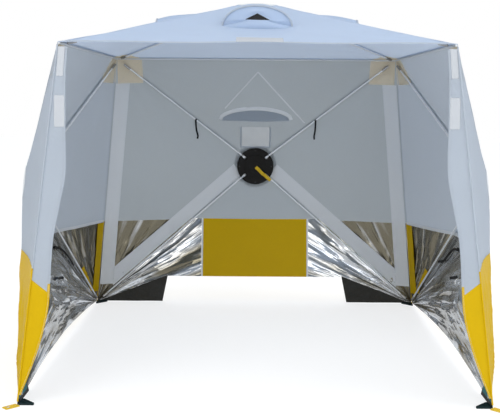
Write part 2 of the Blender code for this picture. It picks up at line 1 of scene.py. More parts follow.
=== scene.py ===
import math
import bmesh
import bpy
import numpy as np
from mathutils import Matrix, Vector, noise


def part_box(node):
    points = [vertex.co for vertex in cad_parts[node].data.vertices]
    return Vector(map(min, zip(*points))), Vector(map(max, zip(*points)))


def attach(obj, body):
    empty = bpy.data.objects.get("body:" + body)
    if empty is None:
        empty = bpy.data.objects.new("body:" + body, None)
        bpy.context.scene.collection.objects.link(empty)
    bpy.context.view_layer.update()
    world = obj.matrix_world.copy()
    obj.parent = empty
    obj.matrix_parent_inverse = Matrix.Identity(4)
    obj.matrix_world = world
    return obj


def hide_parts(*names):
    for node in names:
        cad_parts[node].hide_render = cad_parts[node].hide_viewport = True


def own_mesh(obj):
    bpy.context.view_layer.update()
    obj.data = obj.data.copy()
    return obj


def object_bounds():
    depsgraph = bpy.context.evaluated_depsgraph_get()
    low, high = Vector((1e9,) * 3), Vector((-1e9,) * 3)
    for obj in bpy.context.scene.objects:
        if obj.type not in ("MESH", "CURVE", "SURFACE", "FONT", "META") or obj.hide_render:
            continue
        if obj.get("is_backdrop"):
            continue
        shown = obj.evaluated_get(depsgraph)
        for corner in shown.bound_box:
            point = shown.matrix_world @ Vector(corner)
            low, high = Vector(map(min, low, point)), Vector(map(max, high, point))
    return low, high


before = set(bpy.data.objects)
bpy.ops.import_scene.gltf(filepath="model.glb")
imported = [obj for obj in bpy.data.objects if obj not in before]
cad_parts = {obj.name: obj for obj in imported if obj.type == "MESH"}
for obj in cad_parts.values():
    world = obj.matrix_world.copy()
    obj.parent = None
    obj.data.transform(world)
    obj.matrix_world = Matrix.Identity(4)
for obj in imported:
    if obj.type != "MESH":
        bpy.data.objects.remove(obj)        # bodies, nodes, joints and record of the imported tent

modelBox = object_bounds()

# The shape that the solids have, in metres; the front faces -Y
tent = {"baseHalf": 1.25, "eaveHalf": 1.045, "eaveHeight": 1.90, "wallBulge": 0.34, "roofRise": 0.30,
        "crownShare": 0.11, "bandHeight": 0.65, "sideBand": 0.6875, "sideTilt": 0.03, "hemHeight": 0.20,
        "groundClear": 0.0045,
        "cornerGap": 0.0026, "seamGap": 0.0006, "wallKeep": 0.095, "roofKeep": 0.10,
        "flatGap": 0.008}
cloth = {"thickness": 0.0012, "layer": 0.0032, "sag": 0.018, "ridgeRound": 0.018, "wrinkle": 0.0034,
         "tension": 0.0044, "eaveWave": 0.004, "rings": 44, "cells": 40,
         "settle": {"roof": 0.016, "left": 0.012, "right": 0.012, "back": 0.004, "front": 0.0},
         "hemRise": 0.055, "hemStart": 0.55, "tapeOut": 0.0011, "patchOut": 0.0022, "labelOut": 0.0024,
         "trimThick": 0.0009, "sliver": 0.0004}
reliefShape = {"bossRadius": 0.045, "bossRamp": 0.12, "settlePower": 0.8, "seedShift": 3.1, "soft": 2.6,
               "softFine": 6.1,
               "pullTurns": 26, "pullWander": 3, "wanderScale": 1.3, "pullReach": 0.45, "cornerRamp": 0.15,
               "eaveStart": 0.86, "eaveRamp": 0.14, "eaveWaves": 5}

slantHeight = math.hypot(tent["eaveHeight"], tent["baseHalf"] - tent["eaveHalf"])
leanSine = (tent["baseHalf"] - tent["eaveHalf"]) / slantHeight
leanCosine = tent["eaveHeight"] / slantHeight
hubLow = slantHeight * tent["baseHalf"] / (tent["baseHalf"] + tent["eaveHalf"])
hubHigh = slantHeight - hubLow
centreY = (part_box("roof_canopy")[0].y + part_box("roof_canopy")[1].y) / 2


# Materials: a wire is a socket that takes sums, and a paint is one material's nodes
class Wire:
    def __init__(self, paint, socket):
        self.paint, self.socket = paint, socket

    def combine(self, operation, first, second=0.0):
        return self.paint.add("ShaderNodeMath", {"operation": operation}, {0: first, 1: second})

    def __add__(self, other):
        return self.combine("ADD", self, other)

    def __radd__(self, other):
        return self.combine("ADD", other, self)

    def __sub__(self, other):
        return self.combine("SUBTRACT", self, other)

    def __rsub__(self, other):
        return self.combine("SUBTRACT", other, self)

    def __mul__(self, other):
        return self.combine("MULTIPLY", self, other)

    def __rmul__(self, other):
        return self.combine("MULTIPLY", other, self)

    def __pow__(self, other):
        return self.combine("POWER", self, other)

    def __abs__(self):
        return self.combine("ABSOLUTE", self)


class Paint:
    def __init__(self, name):
        self.material = bpy.data.materials.new(name)
        self.material.use_nodes = True
        self.tree = self.material.node_tree
        self.shader = self.tree.nodes["Principled BSDF"]

    def add(self, kind, settings=None, sockets=None, output=0):
        node = self.tree.nodes.new(kind)
        for key, value in (settings or {}).items():
            if key == "stops":
                for spot, (place, colour) in zip(node.color_ramp.elements, value):
                    spot.position, spot.color = place, colour
            else:
                setattr(node, key, value)
        for key, value in (sockets or {}).items():
            self.feed(node.inputs[key], value)
        return Wire(self, node.outputs[output])

    def feed(self, socket, value):
        if isinstance(value, Wire):
            self.tree.links.new(value.socket, socket)
        else:
            socket.default_value = value

    def set(self, **values):
        for key, value in values.items():
            self.feed(self.shader.inputs[key.replace("_", " ")], value)

    def blend(self, factor, first, second):
        return self.add("ShaderNodeMix", {"data_type": "RGBA"}, {0: factor, 6: first, 7: second}, 2)

    def grain(self, scale, detail=2.0, distortion=0.0, output=0, where="Object"):
        place = self.add("ShaderNodeTexCoord", output=where)
        return self.add("ShaderNodeTexNoise", None, {"Vector": place, "Scale": scale, "Detail": detail,
                                                     "Distortion": distortion}, output)

    def threads(self, scale, direction):
        place = self.add("ShaderNodeTexCoord", output="UV")
        return self.add("ShaderNodeTexWave", {"bands_direction": direction},
                        {"Vector": place, "Scale": scale, "Distortion": 0.4, "Detail": 1.0}, 1)

    def creases(self, scale, width=1.0):
        return 1 - abs(self.grain(scale, 2.0, 0.6) * 2 - 1) * width

    def bump(self, height, strength, distance):
        self.set(Normal=self.add("ShaderNodeBump", None, {"Strength": strength, "Distance": distance,
                                                         "Height": height}))

    def mixIn(self, share, other):
        both = self.add("ShaderNodeMixShader", None,
                        {0: share, 1: Wire(self, self.shader.outputs[0]), 2: other})
        self.feed(self.tree.nodes["Material Output"].inputs["Surface"], both)

    def letThrough(self, share, colour):
        # daylight that shines through the cloth
        self.mixIn(share, self.add("ShaderNodeBsdfTranslucent", None, {"Color": colour}))


clothPaints = {
    "roofCloth": {"dark": (0.48, 0.585, 0.76, 1), "light": (0.57, 0.685, 0.87, 1), "rough": 0.55,
                  "thread": 190,
                  "crease": 5.0, "bump": 0.5, "through": 0.48, "glow": (0.88, 0.92, 0.96, 1)},
    "wallCloth": {"dark": (0.52, 0.575, 0.65, 1), "light": (0.61, 0.67, 0.75, 1), "rough": 0.6, "thread": 190,
                  "crease": 4.0, "bump": 0.6, "through": 0.46, "glow": (0.76, 0.79, 0.82, 1)},
    # The back wall's cloth: the wall cloth painted darker, with a dimmer through colour, as painted shade for
    # the weaker light from behind
    "backClothShaded": {"dark": (0.50, 0.535, 0.57, 1), "light": (0.60, 0.64, 0.675, 1), "rough": 0.6,
                  "thread": 190,
                  "crease": 4.0, "bump": 0.6, "through": 0.44, "glow": (0.70, 0.73, 0.74, 1)},
    "bandCloth": {"dark": (0.78, 0.81, 0.84, 1), "light": (0.88, 0.90, 0.92, 1), "rough": 0.6, "thread": 150,
                  "crease": 7.0, "bump": 0.35, "through": 0.22, "glow": (0.84, 0.86, 0.90, 1)},
    "yellowCloth": {"dark": (0.56, 0.36, 0.0, 1), "light": (0.72, 0.47, 0.0, 1), "rough": 0.5, "thread": 170,
                    "crease": 5.0, "bump": 0.35, "through": 0.12, "glow": (0.8, 0.5, 0.0, 1)},
    "patchCloth": {"dark": (0.86, 0.79, 0.66, 1), "light": (0.97, 0.91, 0.80, 1), "rough": 0.75, "thread": 90,
                   "crease": 9.0, "bump": 0.6, "through": 0.42, "glow": (0.99, 0.92, 0.76, 1)},
    "blackCloth": {"dark": (0.010, 0.010, 0.011, 1), "light": (0.035, 0.034, 0.034, 1), "rough": 0.6,
                   "thread": 140, "crease": 8.0, "bump": 0.5, "through": 0.0, "glow": (0, 0, 0, 1)},
    "groundCloth": {"dark": (0.010, 0.010, 0.009, 1), "light": (0.075, 0.072, 0.064, 1), "rough": 0.7,
                    "thread": 140, "crease": 14.0, "bump": 0.8, "through": 0.0, "glow": (0, 0, 0, 1)},
    "tealCloth": {"dark": (0.004, 0.095, 0.105, 1), "light": (0.010, 0.15, 0.16, 1), "rough": 0.5,
                  "thread": 140,
                  "crease": 8.0, "bump": 0.4, "through": 0.0, "glow": (0, 0, 0, 1)},
    "labelCloth": {"dark": (0.43, 0.455, 0.49, 1), "light": (0.51, 0.535, 0.57, 1), "rough": 0.45,
                   "thread": 240,
                   "crease": 6.0, "bump": 0.2, "through": 0.0, "glow": (0, 0, 0, 1)},
}


clothLook = {"patch": 1.7, "speck": 70.0, "patchShare": 0.65, "speckShare": 0.35, "roughSpan": 0.16,
             "gloss": 0.12,
             "weave": 0.10, "creases": ((1.0, 1.2), (4.3, 0.35), (0.4, 2.2)), "seeThrough": 0.4,
             "deepBump": 0.008,
             "lowBump": 0.0045}


def makeClothPaint(name, values):
    look = clothLook
    paint = Paint(name)
    weave = paint.threads(values["thread"], "X") * paint.threads(values["thread"], "Y")
    tone, speck = paint.grain(look["patch"], 3.0), paint.grain(look["speck"], 3.0)
    mixed = paint.blend(tone * look["patchShare"] + speck * look["speckShare"], values["dark"],
                        values["light"])
    paint.set(Base_Color=mixed, Roughness=values["rough"] + (speck - 0.5) * look["roughSpan"])
    paint.set(Specular_IOR_Level=look["gloss"])
    height = weave * look["weave"]
    for size, weight in look["creases"]:
        height = height + paint.creases(values["crease"] * size) * weight
    distance = look["deepBump"] if values["through"] > look["seeThrough"] else look["lowBump"]
    paint.bump(height, values["bump"], distance)
    if values["through"] > 0:
        paint.letThrough(values["through"], values["glow"])
    return paint.material


# dark and light are the painted reflection and highlight colours along the creases; the upper part of each
# wall is painted darker, as painted shade
foilLook = {"fan": (4.6, 0.7, 0.4), "rays": (1.0, 2.4, 5.0), "rayEdge": 3.2, "rayBump": (4.4, 1.2, 0.16),
            "loftyTurn": 0.66, "loftySlope": 9.0, "loftyPaintedShade": 0.62, "loftyFlat": 0.45, "contrast": 2.4,
            "offset": 0.68, "patchShare": 0.7, "dark": (0.16, 0.145, 0.105, 1),
            "light": (0.80, 0.85, 0.93, 1),
            "dust": (0.34, 0.31, 0.24, 1), "dustShare": 0.25, "rough": (0.13, 0.14, 0.05),
            "creases": ((5.0, 0.4), (27.0, 0.12)), "bump": 0.8, "distance": 0.006}


def makeFoilPaint():
    # aluminised cloth: long creases fan out from the two lower corners of a wall, over a fine crumple; the
    # colour along the creases is painted highlights and reflections, and the upper part is painted darker as
    # painted shade
    paint, look = Paint("foilCloth"), foilLook
    byTurn, byReach, byWidth = look["fan"]
    flat = paint.add("ShaderNodeTexCoord", output="UV")
    across = paint.add("ShaderNodeSeparateXYZ", None, {0: flat})
    sideways = tent["baseHalf"] - abs(across)
    raised = paint.add("ShaderNodeSeparateXYZ", None, {0: flat}, 1) + hubLow
    turn = paint.add("ShaderNodeMath", {"operation": "ARCTAN2"}, {0: raised, 1: sideways})
    reach = (sideways * sideways + raised * raised) ** 0.5
    fan = paint.add("ShaderNodeCombineXYZ", None, {0: turn * byTurn, 1: reach * byReach, 2: across * byWidth})
    rays = [paint.add("ShaderNodeTexNoise", None,
                      {"Vector": fan, "Scale": scale, "Detail": 2.0, "Distortion": 0.3})
            for scale in look["rays"]]
    broad, narrow, thin = [1 - abs(ray * 2 - 1) * look["rayEdge"] for ray in rays]
    tone, fine = paint.grain(3.1, 4.0, 0.8), paint.grain(55.0, 3.0)
    # painted shade: past a turn of the fan, towards the top of the wall, the foil's colour is darkened and
    # its creases flattened
    loftyShade = paint.add("ShaderNodeMath", {"operation": "MULTIPLY", "use_clamp": True},
                      {0: turn - look["loftyTurn"], 1: look["loftySlope"]})
    # the creases pick between dark olive and pale blue: painted reflections and highlights of the crumpled
    # foil, not its own colour
    shade = rays[1] * look["contrast"] - look["offset"] + (tone - 0.5) * look["patchShare"]
    shade = shade - loftyShade * look["loftyPaintedShade"]
    paintedReflection = paint.blend(shade, look["dark"], look["light"])
    paint.set(Base_Color=paint.blend(fine * look["dustShare"], paintedReflection, look["dust"]), Metallic=0.9)
    rough, roughPatch, roughFine = look["rough"]
    paint.set(Roughness=rough + tone * roughPatch + fine * roughFine)
    byBroad, byNarrow, byThin = look["rayBump"]
    height = (broad * byBroad + narrow * byNarrow + thin * byThin) * (1 - loftyShade * look["loftyFlat"])
    for size, weight in look["creases"]:
        height = height + paint.creases(size) * weight
    paint.bump(height, look["bump"], look["distance"])
    return paint.material


def makePlasticPaint(name, dark, light, rough, grainScale, bump):
    paint = Paint(name)
    tone = paint.grain(9.0, 3.0)
    fine = paint.grain(grainScale, 2.0)
    paint.set(Base_Color=paint.blend(tone * 0.7 + fine * 0.3, dark, light))
    paint.set(Roughness=rough + (tone - 0.5) * 0.2)
    paint.bump(fine, bump, 0.0008)
    paint.set(Specular_IOR_Level=0.15)
    return paint.material


def makeWebbingPaint(name, dark, light, glow):
    # ribs across the strap, from its own UV map
    paint = Paint(name)
    ribs = paint.threads(110, "Y")           # across
    cords = paint.threads(60, "X")
    wear = paint.grain(30.0, 3.0)
    paint.set(Base_Color=paint.blend(ribs * 0.45 + cords * 0.2 + wear * 0.35, dark, light), Roughness=0.62,
              Specular_IOR_Level=0.12)
    paint.bump(ribs * 0.6 + cords * 0.4, 0.7, 0.0007)
    if glow > 0:
        paint.letThrough(glow, light)
    return paint.material


def makeMeshPaint():
    # fine insect mesh: dark threads with gaps between them
    paint = Paint("ventMesh")
    across, along = paint.threads(95, "X"), paint.threads(95, "Y")
    holes = across * along
    paint.set(Base_Color=paint.blend(holes, (0.56, 0.63, 0.72, 1), (0.33, 0.37, 0.43, 1)), Roughness=0.75)
    paint.bump(1 - holes, 0.8, 0.0008)
    paint.letThrough(0.45, (0.60, 0.66, 0.74, 1))
    return paint.material


def makeFilmPaint():
    paint = Paint("pocketFilm")
    ripple = paint.grain(14.0, 3.0, 0.5)
    paint.set(Base_Color=paint.blend(ripple, (0.80, 0.82, 0.82, 1), (0.92, 0.93, 0.92, 1)))
    paint.set(Roughness=0.16 + ripple * 0.14, Coat_Weight=0.4, Coat_Roughness=0.1)
    paint.bump(ripple, 0.35, 0.003)
    paint.letThrough(0.30, (0.7, 0.75, 0.84, 1))
    return paint.material


def makeMetalPaint(name, colour, rough):
    paint = Paint(name)
    scratch = paint.grain(120.0, 4.0, 0.3)
    paint.set(Base_Color=paint.blend(scratch, colour, tuple(part * 0.7 for part in colour[:3]) + (1,)))
    paint.set(Metallic=0.95, Roughness=rough + scratch * 0.18)
    paint.bump(scratch, 0.2, 0.0003)
    return paint.material


materials = {name: makeClothPaint(name, values) for name, values in clothPaints.items()}
materials["foilCloth"] = makeFoilPaint()
# dark and light colour, roughness, grain and bump
plasticPaints = {"hubPlastic": ((0.003, 0.003, 0.003, 1), (0.007, 0.0065, 0.006, 1), 0.5, 160.0, 0.5),
                 "rodCoat": ((0.80, 0.82, 0.85, 1), (0.93, 0.94, 0.96, 1), 0.3, 90.0, 0.12),
                 "footRubber": ((0.003, 0.009, 0.010, 1), (0.007, 0.024, 0.027, 1), 0.6, 130.0, 0.5),
                 "paleThread": ((0.55, 0.60, 0.68, 1), (0.75, 0.79, 0.85, 1), 0.6, 300.0, 0.3)}
webbingPaints = {"yellowWebbing": ((0.52, 0.32, 0.010, 1), (0.82, 0.58, 0.05, 1), 0.0),
                 "blackWebbing": ((0.003, 0.003, 0.004, 1), (0.014, 0.014, 0.015, 1), 0.0)}
metalPaints = {"eyeletMetal": ((0.62, 0.60, 0.56, 1), 0.25), "screwMetal": ((0.07, 0.07, 0.07, 1), 0.4),
               "ferruleMetal": ((0.50, 0.50, 0.51, 1), 0.32)}
for makePaint, table in ((makePlasticPaint, plasticPaints), (makeWebbingPaint, webbingPaints),
                         (makeMetalPaint, metalPaints)):
    for name, values in table.items():
        materials[name] = makePaint(name, *values)
materials["ventMesh"] = makeMeshPaint()
materials["pocketFilm"] = makeFilmPaint()
print("materials ready:", len(materials))


# A wall or the roof: u runs along it, v up it and n out of it, from the hub's place on its plane
class Panel:
    def __init__(self, name, outward, low, high, lowHalf, highHalf, bulge, keep):
        self.name, self.low, self.high, self.bulge, self.keep = name, low, high, bulge, keep
        self.lowHalf, self.highHalf = lowHalf, highHalf
        if outward is None:
            vAxis, nAxis = Vector((0, 1, 0)), Vector((0, 0, 1))
            self.origin = Vector((0, centreY, tent["eaveHeight"]))
        else:
            flat = Vector((*outward, 0))
            vAxis = Vector((0, 0, leanCosine)) - flat * leanSine
            nAxis = flat * leanCosine + Vector((0, 0, leanSine))
            reach = tent["baseHalf"] - hubLow * leanSine
            self.origin = flat * reach + Vector((0, centreY, hubLow * leanCosine))
        uAxis = vAxis.cross(nAxis)
        self.normal = nAxis
        self.matrix = Matrix((uAxis, vAxis, nAxis)).transposed().to_4x4()
        self.matrix.translation = self.origin
        self.up = Vector((uAxis.z, vAxis.z, nAxis.z))
        self.corners = np.array([(-lowHalf, -low), (lowHalf, -low), (highHalf, high), (-highHalf, high)])

    def measure(self, u, v):
        # share of the way from the hub to the edge, place along that side, lead over the next side, side
        u, v = np.asarray(u, float), np.asarray(v, float)
        gauges, places = [], []
        for index in range(4):
            start, end = self.corners[index], self.corners[(index + 1) % 4]
            length = np.linalg.norm(end - start)
            along = (end - start) / length
            gauge = (u * along[1] - v * along[0]) / (start[0] * along[1] - start[1] * along[0])
            safe = np.where(np.abs(gauge) < 1e-6, 1.0, gauge)
            gauges.append(gauge)
            places.append(((u / safe - start[0]) * along[0] + (v / safe - start[1]) * along[1]) / length)
        gauges, places = np.array(gauges), np.array(places)
        order = np.sort(gauges, axis=0)
        side = np.argmax(gauges, axis=0)
        place = np.take_along_axis(places, side[None], axis=0)[0]
        return order[-1], np.clip(place, 0, 1), order[-1] - order[-2], side

    def level(self, share):
        return self.bulge * np.clip((1 - share) / (1 - tent["crownShare"]), 0, 1)

    def heightPlane(self, height, above, inset=tent["seamGap"] / 2, tilt=0.0):
        direction = (self.up - Vector((tilt, 0, 0))).normalized()
        point = Vector((0, (height - self.origin.z) / self.up.y, 0))
        return halfSpace(point, direction if above else -direction, inset)

    def bandPlane(self, above, shift=0.0):
        # the line between white and foil, which climbs towards the front on the side walls
        if self.name == "back":
            return self.heightPlane(tent["bandHeight"] + shift, above)
        climb = tent["sideTilt"] * (1 if self.name == "left" else -1)
        return self.heightPlane(tent["sideBand"] + shift, above, tilt=climb)

    def sidePlane(self, sign, inset=tent["cornerGap"]):
        low = self.foot(sign)
        run = self.head(sign) - low
        return halfSpace(low, (-sign * run.y, sign * run.x, 0), inset)

    def foot(self, sign):
        return Vector((sign * self.lowHalf, -self.low, 0))

    def head(self, sign):
        return Vector((sign * self.highHalf, self.high, 0))

    def eavePlane(self):
        return halfSpace((0, self.high - tent["cornerGap"], 0), (0, -1, 0))


def quarterTurn(way):
    return Vector((-way.y, way.x, 0))


def halfSpace(point, direction, inset=0.0):
    direction = Vector(direction).normalized()
    return Vector(point) + direction * inset, direction


walls = {name: Panel(name, outward, hubLow, hubHigh, tent["baseHalf"], tent["eaveHalf"],
                     tent["wallBulge"] if name != "front" else 0.0, tent["wallKeep"])
         for name, outward in (("back", (0, 1)), ("left", (-1, 0)), ("right", (1, 0)), ("front", (0, -1)))}
backPanel, leftPanel, rightPanel, frontPanel = (walls[name] for name in ("back", "left", "right", "front"))
roofPanel = Panel("roof", None, tent["eaveHalf"], tent["eaveHalf"], tent["eaveHalf"], tent["eaveHalf"],
                  tent["roofRise"], tent["roofKeep"])
hubPanels = [backPanel, leftPanel, rightPanel, roofPanel]


def relief(panel, u, v):
    # how far the cloth lies off its flat facets: sag between the rods, round ridges and tension wrinkles
    values, crown = reliefShape, tent["crownShare"]
    share, place, lead, side = panel.measure(u, v)
    spread = np.clip((share - crown) / (1 - crown), 0, 1)
    fade = np.clip(spread * (1 - spread) * 8, 0, 1)
    lift = -cloth["sag"] * np.sin(math.pi * spread) ** 2 * np.sin(math.pi * place)
    overBoss = np.clip((np.hypot(u, v) - values["bossRadius"]) / values["bossRamp"], 0,
                       1)      # the hub's boss holds the crown up
    lift -= cloth["settle"][panel.name] * np.clip(1 - spread, 0, 1) ** values["settlePower"] * overBoss
    lift -= panel.bulge * cloth["ridgeRound"] * np.log1p(np.exp(-lead / cloth["ridgeRound"])) * fade
    seedShift = panel.origin * values["seedShift"]
    for index, (x, y) in enumerate(zip(np.ravel(u), np.ravel(v))):
        where = Vector((x, y, 0)) + seedShift
        soft = noise.noise(where * values["soft"]) + 0.5 * noise.noise(where * values["softFine"])
        toCorner = min(math.hypot(abs(x) - panel.highHalf, y - sign) for sign in (panel.high, -panel.low))
        turn = math.atan2(abs(abs(x) - panel.highHalf), abs(y) - panel.high + 1e-9)
        wander = values["pullWander"] * noise.noise(where * values["wanderScale"])
        pull = math.sin(turn * values["pullTurns"] + wander) * math.exp(-toCorner / values["pullReach"])
        rise = cloth["wrinkle"] * soft + cloth["tension"] * pull * min(toCorner / values["cornerRamp"], 1)
        lift.flat[index] += rise * fade.flat[index]
    if panel is roofPanel:
        edge = np.clip((share - values["eaveStart"]) / values["eaveRamp"], 0, 1) * (side == 0)
        wave = np.sin(place * math.pi * values["eaveWaves"])
        lift += cloth["eaveWave"] * wave * np.sin(place * math.pi) * edge
    return lift


def surface(panel, u, v, inset=0.0):
    # world points of the cloth's outer face, or of a layer set in from it
    u, v = np.asarray(u, float), np.asarray(v, float)
    n = panel.level(panel.measure(u, v)[0]) + relief(panel, u, v) - inset
    local = np.stack([u, v, n], axis=-1)
    turn = np.array(panel.matrix.to_3x3())
    return local @ turn.T + np.array(panel.origin)


def polarSkin(panel, rings, cells, innerShare=0.0):
    # rings of quads from the panel's outline to its crown, in local coordinates
    crown = tent["crownShare"]
    inner = max(crown, innerShare)
    shares = [1 - (1 - inner) * ring / rings for ring in range(rings + 1)]
    if innerShare == 0:
        shares += [crown * 2 / 3, crown / 3]
    points, faces = [], []
    for share in shares:
        for index in range(4):
            start, end = panel.corners[index], panel.corners[(index + 1) % 4]
            for cell in range(cells):
                x, y = (start + (end - start) * cell / cells) * share
                points.append((x, y, float(panel.level(share))))
    around = 4 * cells
    for row in range(len(shares) - 1):
        for step in range(around):
            following = (step + 1) % around
            first = row * around
            faces.append((first + step, first + following, first + around + following, first + around + step))
    if innerShare == 0:
        last = (len(shares) - 1) * around
        points.append((0, 0, panel.bulge))
        for step in range(around):
            faces.append((last + step, last + (step + 1) % around, len(points) - 1))
    mesh = bpy.data.meshes.new("skin")
    mesh.from_pydata(points, [], faces)
    bm = bmesh.new()
    bm.from_mesh(mesh)
    bpy.data.meshes.remove(mesh)
    return bm


def cutSkin(bm, regions):
    # keeps the faces that lie in one of the regions, each a list of half-spaces
    for region in regions:
        for point, direction in region:
            bmesh.ops.bisect_plane(bm, geom=bm.verts[:] + bm.edges[:] + bm.faces[:], dist=1e-6,
                                   plane_co=point, plane_no=direction)
    gone = []
    for face in bm.faces:
        centre = face.calc_center_median()
        if not any(all((centre - point).dot(direction) > 0 for point,
                       direction in region) for region in regions):
            gone.append(face)
    bmesh.ops.delete(bm, geom=gone, context="FACES")
    slivers = [edge for edge in bm.edges if edge.calc_length() < cloth["sliver"]]
    bmesh.ops.collapse(bm, edges=slivers)


def addObject(name, data):
    obj = bpy.data.objects.new(name, data)
    bpy.context.scene.collection.objects.link(obj)
    return obj


def linkMesh(name, mesh, *paints):
    obj = addObject(name, mesh)
    if paints:
        if len(mesh.materials) == 0:
            for paint in paints:
                mesh.materials.append(materials[paint])
    return obj


def smoothMesh(mesh, sharpAngle=50):
    mesh.shade_smooth()
    mesh.set_sharp_from_angle(angle=math.radians(sharpAngle))
    return mesh


def finishMesh(name, bm, sharpAngle=50):
    mesh = bpy.data.meshes.new(name)
    bm.to_mesh(mesh)
    bm.free()
    return smoothMesh(mesh, sharpAngle)


def plainMesh(obj, name):
    # the evaluated mesh of an object with modifiers, which is then removed
    bpy.context.view_layer.update()
    mesh = bpy.data.meshes.new_from_object(obj.evaluated_get(bpy.context.evaluated_depsgraph_get()))
    bpy.data.objects.remove(obj, do_unlink=True)
    mesh.name = name
    return smoothMesh(mesh)


def thicken(name, bm, paints, thickness, offset=-1.0, lining=False):
    # closes a sheet into a thin solid and returns it with the sheet's own area
    area = sum(face.calc_area() for face in bm.faces)
    mesh = bpy.data.meshes.new(name)
    bm.to_mesh(mesh)
    bm.free()
    obj = linkMesh(name, mesh, *paints)
    solid = obj.modifiers.new("thickness", "SOLIDIFY")
    solid.thickness, solid.offset, solid.use_even_offset = thickness, offset, True
    if lining:
        solid.material_offset = 1
        solid.material_offset_rim = 1
    obj.name = name + "Skin"
    return linkMesh(name, plainMesh(obj, name), *paints), area


def markFlat(bm):
    # a UV map in metres, from the flat cloth before it takes its shape
    layer = bm.loops.layers.uv.new("UVMap")
    for face in bm.faces:
        for loop in face.loops:
            loop[layer].uv = (loop.vert.co.x, loop.vert.co.y)


def makeCloth(name, panel, regions, paint, inset=0.0, push=None, rings=0, cells=0, innerShare=0.0,
              lining=None,
              thickness=0.0, arched=False):
    bm = polarSkin(panel, rings or cloth["rings"], cells or cloth["cells"], innerShare)
    if regions:
        cutSkin(bm, regions)
    markFlat(bm)
    if arched:                             # the hem between two feet is cut in a low arch
        for vert in bm.verts:
            start = cloth["hemStart"] * panel.low
            low = min(max((-vert.co.y - start) / (panel.low - start), 0), 1)
            vert.co.y += cloth["hemRise"] * math.cos(vert.co.x / panel.lowHalf * math.pi / 2) * low ** 2
            vert.co.z = float(panel.level(panel.measure(vert.co.x, vert.co.y)[0]))
    bm.verts.ensure_lookup_table()
    u = np.array([vert.co.x for vert in bm.verts])
    v = np.array([vert.co.y for vert in bm.verts])
    lift = relief(panel, u, v) - inset
    if push is not None:
        lift += np.array([push(x, y) for x, y in zip(u, v)])
    for vert, rise in zip(bm.verts, lift):
        vert.co.z += float(rise)
    bm.transform(panel.matrix)
    paints = [paint] if lining is None else [paint, lining]
    return thicken(name, bm, paints, thickness or cloth["thickness"], lining=lining is not None)


def follow(piece, panel, body="root"):
    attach(piece, body)
    if panel.bulge > 0:
        tuple(panel.normal)
        tuple(panel.origin + panel.normal * tent["flatGap"])
        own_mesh(piece)
    return piece


def flatExtents(piece):
    # width and length of the cut, along the axes that hold it most tightly
    spots = np.array([vert.co for vert in piece.data.vertices])
    spots = spots - spots.mean(axis=0)
    turned = spots @ np.linalg.eigh(np.cov(spots.T))[1]
    return min((sorted(np.ptp(cloud, axis=0))[1:] for cloud in (spots, turned)),
               key=lambda pair: pair[0] * pair[1])


def declareSheet(piece, area, pieces=()):
    # the growth by which the flat cut would hold the cloth's own area
    width, length = flatExtents(piece)
    grow = math.sqrt(max(area / (width * length), 1.0)) * 1.001


def makeSheet(name, node, held, rests, panel, regions, paint, **values):
    # node is the solid that the sheet takes the place of, or None
    piece, area = makeCloth(name, panel, regions, paint, **values)
    if node:
        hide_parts(node)
    follow(piece, panel)
    declareSheet(piece, area)


# Stitches: polylines are kept for each panel and turned to thread at the end
stitch = {"spacing": 0.008, "length": 0.0052, "thickness": 0.0005, "lift": 0.0003}
seams = {panel.name: [] for panel in hubPanels}
seams["front"] = []


def addSeam(panel, start, end, inset):
    start, end = Vector(start), Vector(end)
    steps = max(int((end - start).length / 0.02), 2)
    spots = [start.lerp(end, step / steps) for step in range(steps + 1)]
    seams[panel.name].append(surface(panel, [spot.x for spot in spots], [spot.y for spot in spots], inset))


def newTree(name, inputs):
    # a tree with named inputs, and the identifier of each
    tree = bpy.data.node_groups.new(name, "GeometryNodeTree")
    tree.interface.new_socket(name="Geometry", in_out="OUTPUT", socket_type="NodeSocketGeometry")
    keys = {}
    for word, kind in inputs.items():
        socket = tree.interface.new_socket(name=word, in_out="INPUT", socket_type=f"NodeSocket{kind}")
        keys[word.lower()] = socket.identifier
    return tree, keys


def treeNode(tree, kind, settings=None, sockets=None):
    node = tree.nodes.new(kind)
    for key, value in (settings or {}).items():
        setattr(node, key, value)
    for key, value in (sockets or {}).items():
        if isinstance(value, bpy.types.NodeSocket):
            tree.links.new(value, node.inputs[key])
        else:
            node.inputs[key].default_value = value
    return node


def finishTree(tree, instances, paint):
    real = treeNode(tree, "GeometryNodeRealizeInstances", None, {0: instances})
    painted = treeNode(tree, "GeometryNodeSetMaterial", None,
                       {"Geometry": real.outputs[0], "Material": paint})
    out = treeNode(tree, "NodeGroupOutput")
    tree.links.new(painted.outputs[0], out.inputs[0])


def buildStitchTree():
    tree, keys = newTree("stitchLine", {"Line": "Geometry", "Spacing": "Float", "Length": "Float",
                                        "Thickness": "Float", "Thread": "Material"})
    source = treeNode(tree, "NodeGroupInput").outputs
    curve = treeNode(tree, "GeometryNodeMeshToCurve", None, {0: source["Line"]})
    even = treeNode(tree, "GeometryNodeResampleCurve", {"mode": "LENGTH"},
                    {"Curve": curve.outputs[0], "Length": source["Spacing"]})
    turn = treeNode(tree, "FunctionNodeAlignRotationToVector", {"axis": "Z"},
                    {"Vector": treeNode(tree, "GeometryNodeInputTangent").outputs[0]})
    thread = treeNode(tree, "GeometryNodeMeshCylinder", None, {"Vertices": 5, "Radius": source["Thickness"],
                                                               "Depth": source["Length"]})
    spots = treeNode(tree, "GeometryNodeInstanceOnPoints", None,
                     {"Points": even.outputs[0], "Instance": thread.outputs[0], "Rotation": turn.outputs[0]})
    finishTree(tree, spots.outputs[0], source["Thread"])
    return tree, keys


def runTree(obj, tree, keys, values, name):
    modifier = obj.modifiers.new("pattern", "NODES")
    modifier.node_group = tree
    for key, value in values.items():
        modifier[keys[key]] = value
    return plainMesh(obj, name)


